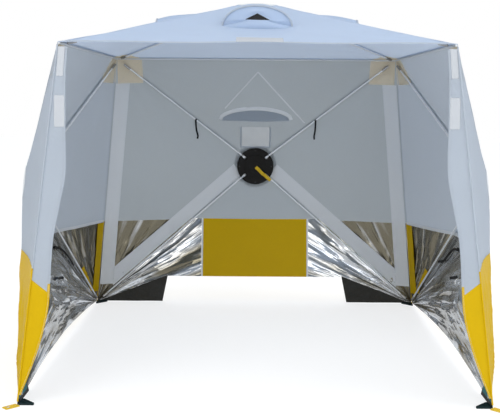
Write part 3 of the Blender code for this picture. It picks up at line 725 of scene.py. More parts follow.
stitchTree, stitchKeys = buildStitchTree()


def sew(name, lines, thread):
    points, edges = [], []
    for line in lines:
        first = len(points)
        points += [tuple(float(part) for part in spot) for spot in line]
        edges += [(first + step, first + step + 1) for step in range(len(line) - 1)]
    mesh = bpy.data.meshes.new(name + "Line")
    mesh.from_pydata(points, edges, [])
    obj = addObject(name + "Line", mesh)
    values = {"spacing": stitch["spacing"], "length": stitch["length"], "thickness": stitch["thickness"],
              "thread": materials[thread]}
    return linkMesh(name, runTree(obj, stitchTree, stitchKeys, values, name), thread)


# Sweeps: tapes, piping and tubes along a line of points
def sweep(name, points, sideAxis, profile, paint, closedLoop=False):
    points = [Vector(point) for point in points]
    bm = bmesh.new()
    layer = bm.loops.layers.uv.new("UVMap")
    rows, along, count = [], [0.0], len(points)
    for index, point in enumerate(points):
        if closedLoop:
            run = points[(index + 1) % count] - points[index - 1]
        else:
            run = points[min(index + 1, count - 1)] - points[max(index - 1, 0)]
        run.normalize()
        side = sideAxis(index) if callable(sideAxis) else Vector(sideAxis)
        side = (side - run * side.dot(run)).normalized()
        outward = run.cross(side)
        rows.append([bm.verts.new(point + side * x + outward * y) for x, y in profile])
        if index:
            along.append(along[-1] + (point - points[index - 1]).length)
    sections = len(profile)
    pairs = list(zip(range(count - 1), range(1, count)))
    if closedLoop:
        pairs.append((count - 1, 0))
    for first, second in pairs:
        for step in range(sections):
            following = (step + 1) % sections
            face = bm.faces.new((rows[first][step], rows[second][step], rows[second][following],
                                 rows[first][following]))
            farther = along[second] if second else along[-1]
            spots = ((step, along[first]), (step, farther), (following, farther), (following, along[first]))
            for loop, (corner, place) in zip(face.loops, spots):
                loop[layer].uv = (profile[corner][0], place)
    if not closedLoop:
        bm.faces.new(rows[0])
        bm.faces.new(rows[-1][::-1])
    bmesh.ops.recalc_face_normals(bm, faces=bm.faces)
    return linkMesh(name, finishMesh(name, bm), paint)


def tapeProfile(width, thickness):
    side, half = width / 2, thickness / 2
    edge = min(half, width * 0.1)
    return [(-side, -half * 0.4), (-side + edge, -half), (side - edge, -half), (side, -half * 0.4),
            (side, half * 0.4), (side - edge, half), (-side + edge, half), (-side, half * 0.4)]


def roundProfile(radius, sides):
    return [(radius * math.cos(2 * math.pi * step / sides), radius * math.sin(2 * math.pi * step / sides))
            for step in range(sides)]


def joinPieces(name, pieces, *paints):
    # one mesh from several plain pieces that share their body
    bm = bmesh.new()
    for piece in pieces:
        bm.from_mesh(piece.data)
        bpy.data.objects.remove(piece, do_unlink=True)
    return linkMesh(name, finishMesh(name, bm), *paints)


def gridPatch(name, points, uv, paint, thickness, offset=-1.0):
    # a sheet from rows of world points, thickened
    bm = bmesh.new()
    layer = bm.loops.layers.uv.new("UVMap")
    rows = [[bm.verts.new(tuple(float(part) for part in spot)) for spot in row] for row in points]
    flat = {vert: place for vertRow, placeRow in zip(rows, uv) for vert, place in zip(vertRow, placeRow)}
    for first, second in zip(rows, rows[1:]):
        for step in range(len(first) - 1):
            face = bm.faces.new((first[step], first[step + 1], second[step + 1], second[step]))
            for loop in face.loops:
                loop[layer].uv = flat[loop.vert]
    bmesh.ops.remove_doubles(bm, verts=bm.verts, dist=1e-5)
    return thicken(name, bm, [paint], thickness, offset)


# Camera
cameraFit = {"place": (-0.0201, -5.9356, 1.6222), "yaw": -0.0027, "pitch": -0.1209, "roll": 0.0069,
             "lens": 66.46}


def makeCamera():
    values = cameraFit
    yaw, pitch, roll = values["yaw"], values["pitch"], values["roll"]
    ahead = Vector((math.sin(yaw) * math.cos(pitch), math.cos(yaw) * math.cos(pitch), math.sin(pitch)))
    level = Vector((math.cos(yaw), -math.sin(yaw), 0))
    upright = level.cross(ahead)
    right = level * math.cos(roll) + upright * math.sin(roll)
    above = upright * math.cos(roll) - level * math.sin(roll)
    camera = addObject("viewCamera", bpy.data.cameras.new("viewCamera"))
    camera.data.lens = values["lens"]
    camera.data.sensor_width = 36
    camera.matrix_world = Matrix((right, above, -ahead)).transposed().to_4x4()
    camera.location = Vector(values["place"]) + Vector((0, centreY, 0))
    bpy.context.scene.camera = camera


makeCamera()

# Roof: one skin over the whole top, with hems, ridge tapes and a bare white patch at the front eave
roofTrim = {"eaveHem": 0.024, "ridgeTape": 0.026, "patchHalf": 0.125, "patchCentre": 0.012,
            "patchDepth": 0.12,
            "crownPatch": 0.17, "crownSides": 18, "tapeEnds": (0.14, 0.99), "seamEnds": (0.16, 0.98),
            "tapeSeam": 0.003, "patchSeams": (0.006, 0.014), "hemSeam": 0.004, "patchGap": 0.002}


def ridgeRegions(panel, halfWidth, startShare, endShare):
    regions = []
    for spot in panel.corners:
        corner = Vector((*spot, 0))
        way = corner.normalized()
        across = quarterTurn(way)
        regions.append([halfSpace(across * halfWidth, -across), halfSpace(-across * halfWidth, across),
                        halfSpace(corner * startShare, way), halfSpace(corner * endShare, -way)])
    return regions


def roundRegion(radius, sides):
    return [halfSpace(Vector((x, y, 0)) * radius, (-x, -y, 0)) for x, y in roundProfile(1, sides)]


def makeOuterTrim(panel, paint, lowest):
    # ridge tapes and a round patch over the hub, on the outside
    values = roofTrim
    half = values["ridgeTape"] / 2
    regions = ridgeRegions(panel, half, *values["tapeEnds"])
    if lowest is not None:
        regions = [region + [lowest] for region in regions]
    tapes, _ = makeCloth(f"{panel.name}RidgeTapes", panel, regions, paint, inset=-cloth["tapeOut"],
                         thickness=0.0008)
    crown, _ = makeCloth(f"{panel.name}HubPatch", panel,
                         [roundRegion(values["crownPatch"], values["crownSides"])],
                         "bandCloth", inset=-cloth["patchOut"], thickness=cloth["trimThick"])
    near, far = values["seamEnds"]
    for index in range(4):
        corner = Vector((*panel.corners[index], 0))
        across = quarterTurn(corner).normalized() * (half - values["tapeSeam"])
        for sign in (1, -1):
            addSeam(panel, corner * near + across * sign, corner * far + across * sign,
                    -cloth["tapeOut"] - stitch["lift"])
    for inset in values["patchSeams"]:
        circle = roundProfile(values["crownPatch"] - inset, 60)
        circle.append(circle[0])
        seams[panel.name].append(surface(panel, [x for x, _ in circle], [y for _, y in circle],
                                         -cloth["patchOut"] - stitch["lift"]))
    return [follow(tapes, panel), follow(crown, panel)]


def makeRoof():
    panel, values = roofPanel, roofTrim
    roof, area = makeCloth("roofCanopy", panel, [], "roofCloth", rings=54, cells=60)
    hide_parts("roof_canopy")
    width = values["eaveHem"]
    edge = tent["eaveHalf"]
    regions = [[halfSpace(Vector((x, y, 0)) * (edge - width), (x, y, 0))]
               for x, y in ((0, -1), (0, 1), (-1, 0), (1, 0))]
    hem, _ = makeCloth("roofEaveHem", panel, regions, "wallCloth", inset=-cloth["tapeOut"],
                       thickness=cloth["trimThick"], cells=60)
    for inset in (values["hemSeam"], width - values["hemSeam"]):
        reach = edge - inset
        for start, end in (((-1, -1), (1, -1)), ((1, -1), (1, 1)), ((1, 1), (-1, 1)), ((-1, 1), (-1, -1))):
            addSeam(panel, (start[0] * reach, start[1] * reach, 0), (end[0] * reach, end[1] * reach, 0),
                    -cloth["tapeOut"] - stitch["lift"])
    x = values["patchCentre"]
    half, depth = values["patchHalf"], values["patchDepth"]
    region = [[halfSpace((x - half, 0, 0), (1, 0, 0)), halfSpace((x + half, 0, 0), (-1, 0, 0)),
               halfSpace((0, -edge + values["patchGap"], 0), (0, 1, 0)),
               halfSpace((0, -edge + depth, 0), (0, -1, 0))]]
    patch, _ = makeCloth("roofFrontPatch", panel, region, "labelCloth", inset=-cloth["labelOut"],
                         thickness=cloth["trimThick"], cells=60)
    pieces = [follow(piece, panel) for piece in (hem, patch)] + makeOuterTrim(panel, "roofCloth", None)
    follow(roof, panel)
    declareSheet(roof, area, pieces)


makeRoof()
print("roof ready")

# Lower panels: foil inside and yellow outside, with folds that spread from the corners
folds = {"depth": 0.012, "clear": 0.16, "full": 0.55, "turns": 7.0, "fade": 0.17, "fadePower": 1.1,
         "fine": 0.006,
         "crumple": 0.002, "wander": 0.55, "edge": 1.4, "reach": 1.1, "start": 0.12, "innerShare": 0.28,
         "rings": 90, "cells": 110}


def foldPush(panel, corners, seamPlanes):
    values = folds

    def push(x, y):
        spot = Vector((x, y, 0))
        height, crisp = 0.0, 0.0
        for number, corner in enumerate(corners):
            away = spot - corner
            spread = math.hypot(away.x, away.y)
            turn = math.atan2(abs(away.y), abs(away.x)) / (math.pi / 2)
            wander = noise.noise(Vector((turn * 4.0, spread * 1.1, number * 7.3 + panel.origin.x)))
            wave = 0.5 - 0.5 * math.cos(2 * math.pi * (values["turns"] * turn + values["wander"] * wander))
            grown = min(max((spread - values["clear"]) / (values["full"] - values["clear"]), 0.0), 1.0)
            height = max(height, wave ** values["edge"] * grown)
            near = math.exp(-spread / values["reach"]) * min(spread / values["start"], 1.0)
            streak = noise.noise(Vector((turn * 21.0, spread * 1.7, number * 3.7 + panel.origin.y)))
            crisp += (1 - abs(streak) * 2.2) * near
        crumple = 1 - 2.4 * abs(noise.noise(spot * 9.0 + panel.origin))
        crumple += 0.5 - 1.2 * abs(noise.noise(spot * 23.0 + panel.origin))
        total = height * values["depth"] + max(crisp, 0) * values["fine"] + max(crumple,
                                                                                0) * values["crumple"]
        for point, direction in seamPlanes:
            total *= min(max((spot - point).dot(direction) / values["fade"], 0.0), 1.0) ** values["fadePower"]
        return total
    return push


def makeSideWall(panel):
    sides = [panel.sidePlane(1), panel.sidePlane(-1)]
    upperRegion = [panel.bandPlane(True), panel.eavePlane()]
    upper, upperArea = makeCloth(f"{panel.name}WallCloth", panel, [upperRegion], "wallCloth")
    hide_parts(f"{panel.name}_wall")
    top = panel.bandPlane(False)
    bottom = panel.heightPlane(tent["groundClear"], True, 0.0)
    corners = [panel.foot(1), panel.foot(-1)]
    lower, lowerArea = makeCloth(f"{panel.name}LowerCloth", panel, [[top, bottom] + sides], "yellowCloth",
                                 push=foldPush(panel, corners, [top, bottom] + sides), rings=folds["rings"],
                                 cells=folds["cells"], innerShare=folds["innerShare"], lining="foilCloth",
                                 arched=True)
    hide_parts(f"{panel.name}_lower")
    trim = makeOuterTrim(panel, "wallCloth", panel.bandPlane(True))
    seamTape = [[panel.bandPlane(True, -0.010), panel.bandPlane(False, 0.012)] + sides]
    tape, _ = makeCloth(f"{panel.name}BandTape", panel, seamTape, "bandCloth", inset=cloth["layer"] - 0.001,
                        thickness=cloth["trimThick"])
    follow(upper, panel)
    follow(lower, panel)
    declareSheet(upper, upperArea, trim)
    declareSheet(lower, lowerArea, [follow(tape, panel)])


backTrim = {"flapHalf": 0.425, "flapGap": 0.0012, "flapBorder": 0.012, "groundInner": 0.69,
            "sleeveWidth": 0.11, "sleeveRidgeGap": 0.012, "sleeveStart": 0.125, "bandWidth": 0.10,
            "bandEdgeGap": 0.012, "bandLow": 0.14, "pocketReach": 0.19, "groundWave": 0.003,
            "bandGap": 0.0003,
            "seamInset": 0.005, "seamEnd": 0.01, "sleeveSeamEnd": 0.21, "bandSeamStart": 0.16,
            "borderLift": 0.0002}


def makeBackWall():
    panel, values = backPanel, backTrim
    sides = [panel.sidePlane(1), panel.sidePlane(-1)]
    upperRegion = [panel.heightPlane(tent["bandHeight"], True), panel.eavePlane()] + sides
    # the back wall takes the darker copy of the wall cloth: painted shade
    upper, upperArea = makeCloth("backWallCloth", panel, [upperRegion], "backClothShaded", rings=60, cells=60)
    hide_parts("back_wall")
    follow(upper, panel)
    trim = makeOuterTrim(panel, "wallCloth", panel.heightPlane(tent["bandHeight"], True))
    declareSheet(upper, upperArea, trim)
    for name, sign in (("Left", 1), ("Right", -1)):
        top = panel.heightPlane(tent["bandHeight"], False)
        hem = panel.heightPlane(tent["hemHeight"], True, 0.0)
        side = halfSpace((sign * (values["flapHalf"] + values["flapGap"] / 2), 0, 0), (sign, 0, 0))
        corner = panel.foot(sign)
        hemEnd = Vector((sign * values["groundInner"], -panel.low + tent["hemHeight"] / leanCosine, 0))
        run = hemEnd - corner
        uphill = quarterTurn(run) * -sign
        levelPart = halfSpace(hemEnd, (-sign, 0, 0))
        slopingPart = halfSpace(hemEnd, (sign, 0, 0))
        lifted = halfSpace(corner, uphill, tent["seamGap"] / 2)
        edge = panel.sidePlane(sign)
        ground = panel.heightPlane(tent["groundClear"], True, 0.0)
        regions = [[top, hem, side, levelPart], [top, lifted, slopingPart, edge, ground]]
        push = foldPush(panel, [corner], [top, lifted, side, hem, edge])
        makeSheet(f"backLower{name}Cloth", f"back_lower_{name.lower()}", "hung", ["back_wall"], panel,
                  regions,
                  "yellowCloth", push=push, rings=folds["rings"], cells=folds["cells"],
                  innerShare=folds["innerShare"], lining="foilCloth")
        regions = [[halfSpace(corner, -uphill, tent["seamGap"] / 2), halfSpace(hemEnd, (sign, 0.2, 0)),
                    ground, edge]]
        makeSheet(f"groundFlap{name}Cloth", f"ground_flap_{name.lower()}", "hung",
                  [f"back_lower_{name.lower()}"],
                  panel, regions, "groundCloth", rings=80, cells=110, innerShare=0.5,
                  push=lambda x, y: values["groundWave"] * noise.noise(Vector((x * 9, y * 9, sign))))


def makeBackFlap():
    panel, values = backPanel, backTrim
    half = values["flapHalf"] - values["flapGap"] / 2
    top, hem = panel.heightPlane(tent["bandHeight"], False), panel.heightPlane(tent["hemHeight"], True, 0.0)
    left, right = halfSpace((half, 0, 0), (-1, 0, 0)), halfSpace((-half, 0, 0), (1, 0, 0))
    flap, area = makeCloth("backFlapCloth", panel, [[top, hem, left, right]], "yellowCloth", rings=80,
                           cells=110,
                           innerShare=folds["innerShare"])
    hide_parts("back_flap")
    width = values["flapBorder"]
    borders = [[top, hem, left, halfSpace((half - width, 0, 0), (1, 0, 0))],
               [top, hem, right, halfSpace((-half + width, 0, 0), (-1, 0, 0))]]
    edges, _ = makeCloth("backFlapBorders", panel, borders, "bandCloth",
                         inset=cloth["thickness"] + values["borderLift"],
                         rings=80, cells=110, innerShare=folds["innerShare"], thickness=cloth["trimThick"])
    follow(flap, panel, "back_flap")
    follow(edges, panel, "back_flap")
    declareSheet(flap, area, [edges])


def makeBackBands():
    # pale rod sleeves and corner bands on the inside
    panel, values = backPanel, backTrim
    inset = cloth["layer"]
    for name, sign in (("Left", 1), ("Right", -1)):
        corner = panel.foot(sign)
        way = corner.normalized()
        across = quarterTurn(way) * sign
        edgeWay = (panel.head(sign) - corner).normalized()
        inward = quarterTurn(edgeWay) * sign
        bandEdge = corner + inward * (values["bandEdgeGap"] + values["bandWidth"])
        nearEdge, farEdge = values["sleeveRidgeGap"], values["sleeveRidgeGap"] + values["sleeveWidth"]
        region = [halfSpace(across * nearEdge, across), halfSpace(across * farEdge, -across),
                  halfSpace(way * values["sleeveStart"], way), halfSpace(bandEdge, inward, values["bandGap"])]
        sleeve, sleeveArea = makeCloth(f"rodSleeve{name}Cloth", panel, [region], "bandCloth", inset=inset,
                                       rings=60,
                                       cells=60)
        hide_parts(f"rod_sleeve_{name.lower()}")
        upper = halfSpace((0, panel.high - values["pocketReach"], 0), (0, -1, 0), values["bandGap"])
        region = [halfSpace(corner + inward * values["bandEdgeGap"], inward),
                  halfSpace(bandEdge, -inward, values["bandGap"]),
                  panel.heightPlane(values["bandLow"], True, 0.0), upper]
        band, bandArea = makeCloth(f"cornerBand{name}Cloth", panel, [region], "bandCloth", inset=inset,
                                   rings=60,
                                   cells=60)
        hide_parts(f"corner_band_{name.lower()}")
        for piece, area in ((sleeve, sleeveArea), (band, bandArea)):
            follow(piece, panel)
            declareSheet(piece, area)
        depth = inset + cloth["thickness"] + stitch["lift"]
        reach = corner.length
        for offset in (nearEdge + values["seamInset"], farEdge - values["seamInset"]):
            addSeam(panel, across * offset + way * (values["sleeveStart"] + values["seamEnd"]),
                    across * offset + way * (reach - values["sleeveSeamEnd"]), depth)
        rise = slantHeight - values["pocketReach"]
        for offset in (values["bandEdgeGap"] + values["seamInset"],
                       values["bandEdgeGap"] + values["bandWidth"] - values["seamInset"]):
            start = corner + inward * offset
            addSeam(panel, start + edgeWay * values["bandSeamStart"],
                    start + edgeWay * (rise - values["seamEnd"]), depth)


makeSideWall(leftPanel)
makeSideWall(rightPanel)
makeBackWall()
makeBackFlap()
makeBackBands()
print("walls ready")

# Yellow strips in the lower corners of the side walls
cornerStrip = {"width": 0.088, "armWidth": 0.035, "armTop": (0.94, 0.32), "armFoot": (1.125, 0.115),
               "low": 0.09, "lift": 0.0008}


def makeYellowCorners():
    values = cornerStrip
    for panel in (leftPanel, rightPanel):
        sign = -1 if panel is leftPanel else 1        # the rear edge of the left wall is at -u
        top = panel.bandPlane(False, -0.012)
        low = panel.heightPlane(values["low"], True, 0.0)
        outer, inner = panel.sidePlane(sign, 0.008), panel.sidePlane(sign, values["width"])
        strip = [outer, (inner[0], -inner[1]), top, low]
        lean = 1 / panel.up.y
        head = Vector((sign * values["armTop"][0], (values["armTop"][1] - panel.origin.z) * lean, 0))
        foot = Vector((sign * values["armFoot"][0], (values["armFoot"][1] - panel.origin.z) * lean, 0))
        way = (head - foot).normalized()
        across = quarterTurn(way)
        half = values["armWidth"] / 2
        arm = [halfSpace(foot + across * half, -across), halfSpace(foot - across * half, across),
               halfSpace(foot, way), halfSpace(head, -way), inner]
        makeSheet(f"{panel.name}CornerStrip", None, "stretched", [f"{panel.name}_lower"], panel, [strip, arm],
                  "yellowCloth", inset=cloth["layer"] - values["lift"], rings=70, cells=70, innerShare=0.4,
                  thickness=cloth["trimThick"])


makeYellowCorners()


# Corner pockets of beige cloth over the rod ends
pocketTrim = {"reach": 0.19, "cornerGap": 0.006, "sideGap": 0.006, "seamInset": 0.008}


def makeTopPockets():
    values = pocketTrim
    rears = {"back": {1: "left", -1: "right"}, "left": {-1: "rear", 1: "front"},
             "right": {1: "rear", -1: "front"}}
    for panel in (backPanel, leftPanel, rightPanel):
        for sign, side in rears[panel.name].items():
            corner = panel.head(sign)
            region = [halfSpace(corner - Vector((sign * values["reach"], 0, 0)), (sign, 0, 0)),
                      halfSpace(corner - Vector((0, values["reach"], 0)), (0, 1, 0)),
                      halfSpace(corner - Vector((sign * values["sideGap"], 0, 0)), (-sign, 0, 0)),
                      halfSpace(corner - Vector((0, values["cornerGap"], 0)), (0, -1, 0))]
            name = f"topPocket{panel.name.title()}{side.title()}"
            makeSheet(name, f"top_pocket_{panel.name}_{side}", "stretched", [f"{panel.name}_wall"], panel,
                      [region],
                      "patchCloth", inset=cloth["layer"], rings=60, cells=60)
            depth = cloth["layer"] + cloth["thickness"] + stitch["lift"]
            inset = values["seamInset"]
            near = corner.x - sign * (values["sideGap"] + inset)
            far = corner.x - sign * (values["reach"] - inset)
            high, low = corner.y - values["cornerGap"] - inset, corner.y - values["reach"] + inset
            for start, end in (((near, low), (far, low)), ((far, low), (far, high)),
                               ((near, low), (far, high))):
                addSeam(panel, (*start, 0), (*end, 0), depth)
    for sign, side in ((-1, "Left"), (1, "Right")):
        corner = Vector((sign * tent["eaveHalf"], tent["eaveHalf"], 0))
        reach = values["reach"]
        region = [halfSpace(corner - Vector((sign * reach, 0, 0)), (sign, 0, 0)),
                  halfSpace(corner - Vector((0, reach, 0)), (0, 1, 0)),
                  halfSpace(corner - Vector((sign * values["sideGap"], 0, 0)), (-sign, 0, 0)),
                  halfSpace(corner - Vector((0, values["sideGap"], 0)), (0, -1, 0)),
                  halfSpace(corner - Vector((sign * reach, 0, 0)), Vector((sign, 1.0, 0)))]
        makeSheet(f"topPocketRoof{side}", None, "stretched", ["roof_canopy"], roofPanel, [region],
                  "patchCloth",
                  inset=cloth["layer"], rings=60, cells=60)


makeTopPockets()

# Vent and pocket on the back wall, above the hub
ventShape = {"half": 0.275, "ends": 0.388, "top": 0.468, "bottom": 0.379, "rimWidth": 0.030,
             "rimThick": 0.007,
             "rimRise": 0.013, "columns": 56, "rows": 8, "pocketHalf": 0.115, "pocketTop": 0.326,
             "pocketBottom": 0.156, "pocketSteps": 12, "border": 0.012, "stayWidth": 0.011, "archPower": 0.45,
             "rimPower": 0.5, "meshLift": 0.0006, "rimLift": 0.0042, "sillLift": 0.0012, "sillDrop": 0.004,
             "stayLift": 0.0010, "borderLift": 0.0022,
             "stays": [((-0.014, 0.770), (-0.383, 0.362)), ((-0.014, 0.770), (0.239, 0.480))]}


def lineOn(panel, line, inset, steps=20):
    # world points of a line on the cloth, through its corners
    spots = []
    for (x0, y0), (x1, y1) in zip(line, line[1:]):
        spots += [(x0 + (x1 - x0) * step / steps, y0 + (y1 - y0) * step / steps) for step in range(steps)]
    spots.append(line[-1])
    return [Vector(spot) for spot in surface(panel, [x for x, _ in spots], [y for _, y in spots], inset)]


def tapeOn(name, panel, points, width, thickness, paint):
    # a tape that lies flat on the panel
    def across(index):
        run = points[min(index + 1, len(points) - 1)] - points[max(index - 1, 0)]
        return run.cross(panel.normal)
    return sweep(name, points, across, tapeProfile(width, thickness), paint)


def makeVent():
    panel, values = backPanel, ventShape
    us, vs, uv, arc = [], [], [], []
    for row in range(values["rows"] + 1):
        lineU, lineV, lineUv = [], [], []
        for column in range(values["columns"] + 1):
            place = -1 + 2 * column / values["columns"]
            bow = max(math.cos(place * math.pi / 2), 0.0)
            upper = values["ends"] + (values["top"] - values["ends"]) * bow ** values["archPower"]
            lower = values["ends"] + (values["bottom"] - values["ends"]) * bow
            x, y = values["half"] * place, upper + (lower - upper) * row / values["rows"]
            lineU.append(x)
            lineV.append(y)
            lineUv.append((x, y))
            if row == 0:
                arc.append((x, y + values["rimRise"] * bow ** values["rimPower"]))
        us.append(lineU)
        vs.append(lineV)
        uv.append(lineUv)
    inset = cloth["thickness"] + values["meshLift"]
    mesh, area = gridPatch("ventMeshPanel", surface(panel, us, vs, inset), uv, "ventMesh", 0.0008)
    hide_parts("back_vent")
    follow(mesh, panel)
    rim = tapeOn("ventRim", panel, lineOn(panel, arc, inset + values["rimLift"], 1), values["rimWidth"],
                 values["rimThick"],
                 "bandCloth")
    follow(rim, panel)
    sill = tapeOn("ventSill", panel,
                  lineOn(panel, [(-values["half"], values["ends"] - values["sillDrop"]), (0, values["bottom"]
- values["sillDrop"]), (values["half"], values["ends"] - values["sillDrop"])], inset + values["sillLift"]),
                  0.010, 0.0014, "wallCloth")
    follow(sill, panel)
    stays = [tapeOn(f"ventStay{number}", panel, lineOn(panel, line, inset + values["stayLift"]),
                    values["stayWidth"], 0.0016,
                    "bandCloth") for number, line in enumerate(values["stays"])]
    stay = joinPieces("ventStays", stays, "bandCloth")
    follow(stay, panel)
    declareSheet(mesh, area, [rim, sill, stay])
    half, top, bottom, steps = (values[key] for key in ("pocketHalf", "pocketTop", "pocketBottom",
                                                        "pocketSteps"))
    grid = [[(half * (-1 + 2 * column / steps),
              top + (bottom - top) * row / steps) for column in range(steps + 1)]
            for row in range(steps + 1)]
    us, vs = [[x for x, _ in row] for row in grid], [[y for _, y in row] for row in grid]
    film, area = gridPatch("documentPocketFilm", surface(panel, us, vs, inset + values["meshLift"]), grid,
                           "pocketFilm", 0.0006)
    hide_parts("document_pocket")
    follow(film, panel)
    sides = [[(-half, top), (-half, bottom)], [(-half, bottom), (half, bottom)],
             [(half, bottom), (half, top)]]
    borders = [tapeOn(f"pocketBorder{number}", panel, lineOn(panel, line, inset + values["borderLift"]),
                      values["border"], 0.0012,
                      "wallCloth") for number, line in enumerate(sides)]
    border = joinPieces("documentPocketBorder", borders, "wallCloth")
    follow(border, panel)
    declareSheet(film, area, [border])


makeVent()
print("back wall trim ready")

# Front flanges: white above, yellow below, each one rippled sheet cut at the seam line
flange = {"width": 0.115, "edgeGap": 0.0023, "splitOuter": 0.72, "splitInner": 0.63, "ripple": 0.0045,
          "rows": 150,
          "columns": 8, "hem": 0.013, "lie": 0.0025, "hemLift": 0.0009, "seamLift": 0.0008,
          "patchLift": 0.0022,
          "patchRows": 8, "patchColumns": 6, "patches": {"Label": ("labelCloth", 0.053, 0.425, 0.59, 0.006),
                                                         "Top": ("labelCloth", 0.036, 0.69, 0.845, 0.013)}}
flangeShares = [(0.03, 0.09), (0.09, 0.38), (0.17, 0.70), (0.26, 0.90), (0.34, 0.86), (0.46, 0.78),
                (0.55, 0.90),
                (0.64, 1.00), (0.76, 0.78), (0.90, 0.52), (0.985, 0.45)]


def flangeWidth(place):
    # a smooth curve through the flange's widths
    for index in range(len(flangeShares) - 1):
        (p1, w1), (p2, w2) = flangeShares[index], flangeShares[index + 1]
        if place <= p2 or index == len(flangeShares) - 2:
            p0, w0 = flangeShares[max(index - 1, 0)]
            p3, w3 = flangeShares[min(index + 2, len(flangeShares) - 1)]
            share = min(max((place - p1) / (p2 - p1), 0), 1)
            slope1 = (w2 - w0) / max(p2 - p0, 0.01) * (p2 - p1)
            slope2 = (w3 - w1) / max(p3 - p1, 0.01) * (p2 - p1)
            square, cube = share ** 2, share ** 3
            return flange["width"] * ((2 * cube - 3 * square + 1) * w1 + (cube - 2 * square + share) * slope1
                                      + (3 * square - 2 * cube) * w2 + (cube - square) * slope2)


def flangePoint(sign, place, across, forward=0.0):
    # a point on the flange: across is 0 at the wall and 1 at the free edge
    panel = frontPanel
    low, high = Vector((sign * panel.lowHalf, -panel.low)), Vector((sign * panel.highHalf, panel.high))
    spot = low.lerp(high, place)
    inward = flange["edgeGap"] + flangeWidth(place) * across
    wave = noise.noise(Vector((place * 7.0, across * 0.8, sign * 5.0))) + 0.5 * noise.noise(
        Vector((place * 19.0, across, sign * 9.0)))
    depth = -flange["lie"] + flange["ripple"] * wave * across + forward
    return panel.matrix @ Vector((spot.x - sign * inward, spot.y, depth)), (inward, spot.y)


def makeFlanges():
    values = flange
    first, last = flangeShares[0][0], flangeShares[-1][0]
    for side, sign in (("Left", -1), ("Right", 1)):
        rows, uv = [], []
        for row in range(values["rows"] + 1):
            place = first + (last - first) * row / values["rows"]
            order = range(values["columns"] + 1) if sign < 0 else range(values["columns"], -1, -1)
            cells = [flangePoint(sign, place, column / values["columns"]) for column in order]
            rows.append([spot for spot, _ in cells])
            uv.append([flat for _, flat in cells])
        split = Vector((-sign * values["width"], values["splitInner"] - values["splitOuter"], 0))
        start = Vector((sign * frontPanel.lowHalf, values["splitOuter"] - frontPanel.low, 0))
        upward = quarterTurn(split).normalized()
        if upward.y < 0:
            upward = -upward
        for part, way, paint in (("Upper", 1, "wallCloth"), ("Lower", -1, "yellowCloth")):
            whole, _ = gridPatch(f"flange{side}{part}Whole", rows, uv, paint, cloth["thickness"])
            bm = bmesh.new()
            bm.from_mesh(whole.data)
            bpy.data.objects.remove(whole, do_unlink=True)
            turn = frontPanel.matrix.to_3x3()
            point = frontPanel.matrix @ (start + upward * way * tent["seamGap"] / 2)
            cut = bmesh.ops.bisect_plane(bm, geom=bm.verts[:] + bm.edges[:] + bm.faces[:], dist=1e-6,
                                         plane_co=point, plane_no=turn @ (upward * way), clear_inner=True)
            rim = [item for item in cut["geom_cut"] if isinstance(item, bmesh.types.BMEdge)]
            bmesh.ops.holes_fill(bm, edges=rim)
            area = sum(face.calc_area() for face in bm.faces) / 2
            piece = linkMesh(f"flange{side}{part}", finishMesh(f"flange{side}{part}", bm), paint)
            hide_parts(f"front_flange_{side.lower()}_{part.lower()}")
            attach(piece, "root")
            declareSheet(piece, area)
        hems = {"Upper": [], "Lower": []}
        middle = (values["splitOuter"] * 0.25 + values["splitInner"] * 0.75) / slantHeight
        for row in range(values["rows"] + 1):
            place = first + (last - first) * row / values["rows"]
            inset = 1 - values["hem"] / 2 / flangeWidth(place)
            hems["Upper" if place > middle else "Lower"].append(flangePoint(sign, place, max(inset, 0.3),
                                                                            values["hemLift"])[0])
        for part, paint in (("Upper", "wallCloth"), ("Lower", "yellowCloth")):
            hem = sweep(f"flangeHem{side}{part}", hems[part], (1, 0, 0), tapeProfile(values["hem"], 0.0010),
                        paint)
            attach(hem, "root")
            line = [spot + Vector((0, -values["seamLift"], 0)) for spot in hems[part]]
            seams["front"].append(line)
        for patchName, (paint, width, low, high, margin) in values["patches"].items():
            patch, flat = [], []
            for row in range(values["patchRows"] + 1):
                place = (low + (high - low) * row / values["patchRows"] + frontPanel.low) / slantHeight
                inner = 1 - margin / flangeWidth(place)
                outer = max(inner - width / flangeWidth(place), 0.05)
                count = values["patchColumns"]
                shares = [outer + (inner - outer) * column / count for column in range(count + 1)]
                if sign > 0:
                    shares.reverse()
                cells = [flangePoint(sign, place, share, values["patchLift"]) for share in shares]
                patch.append([spot for spot, _ in cells])
                flat.append([spot for _, spot in cells])
            piece, _ = gridPatch(f"flange{patchName}{side}", patch, flat, paint, 0.0007)
            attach(piece, "root")


makeFlanges()

binding = {"radius": 0.0042, "sides": 10, "steps": 40, "split": 0.72, "rearSplit": 0.655, "low": 0.012,
           "top": 0.992,
           "pocketLow": 0.904, "eaveRadius": 0.0075, "partGap": 0.001, "eaveInset": 0.004, "eaveDrop": 0.005}


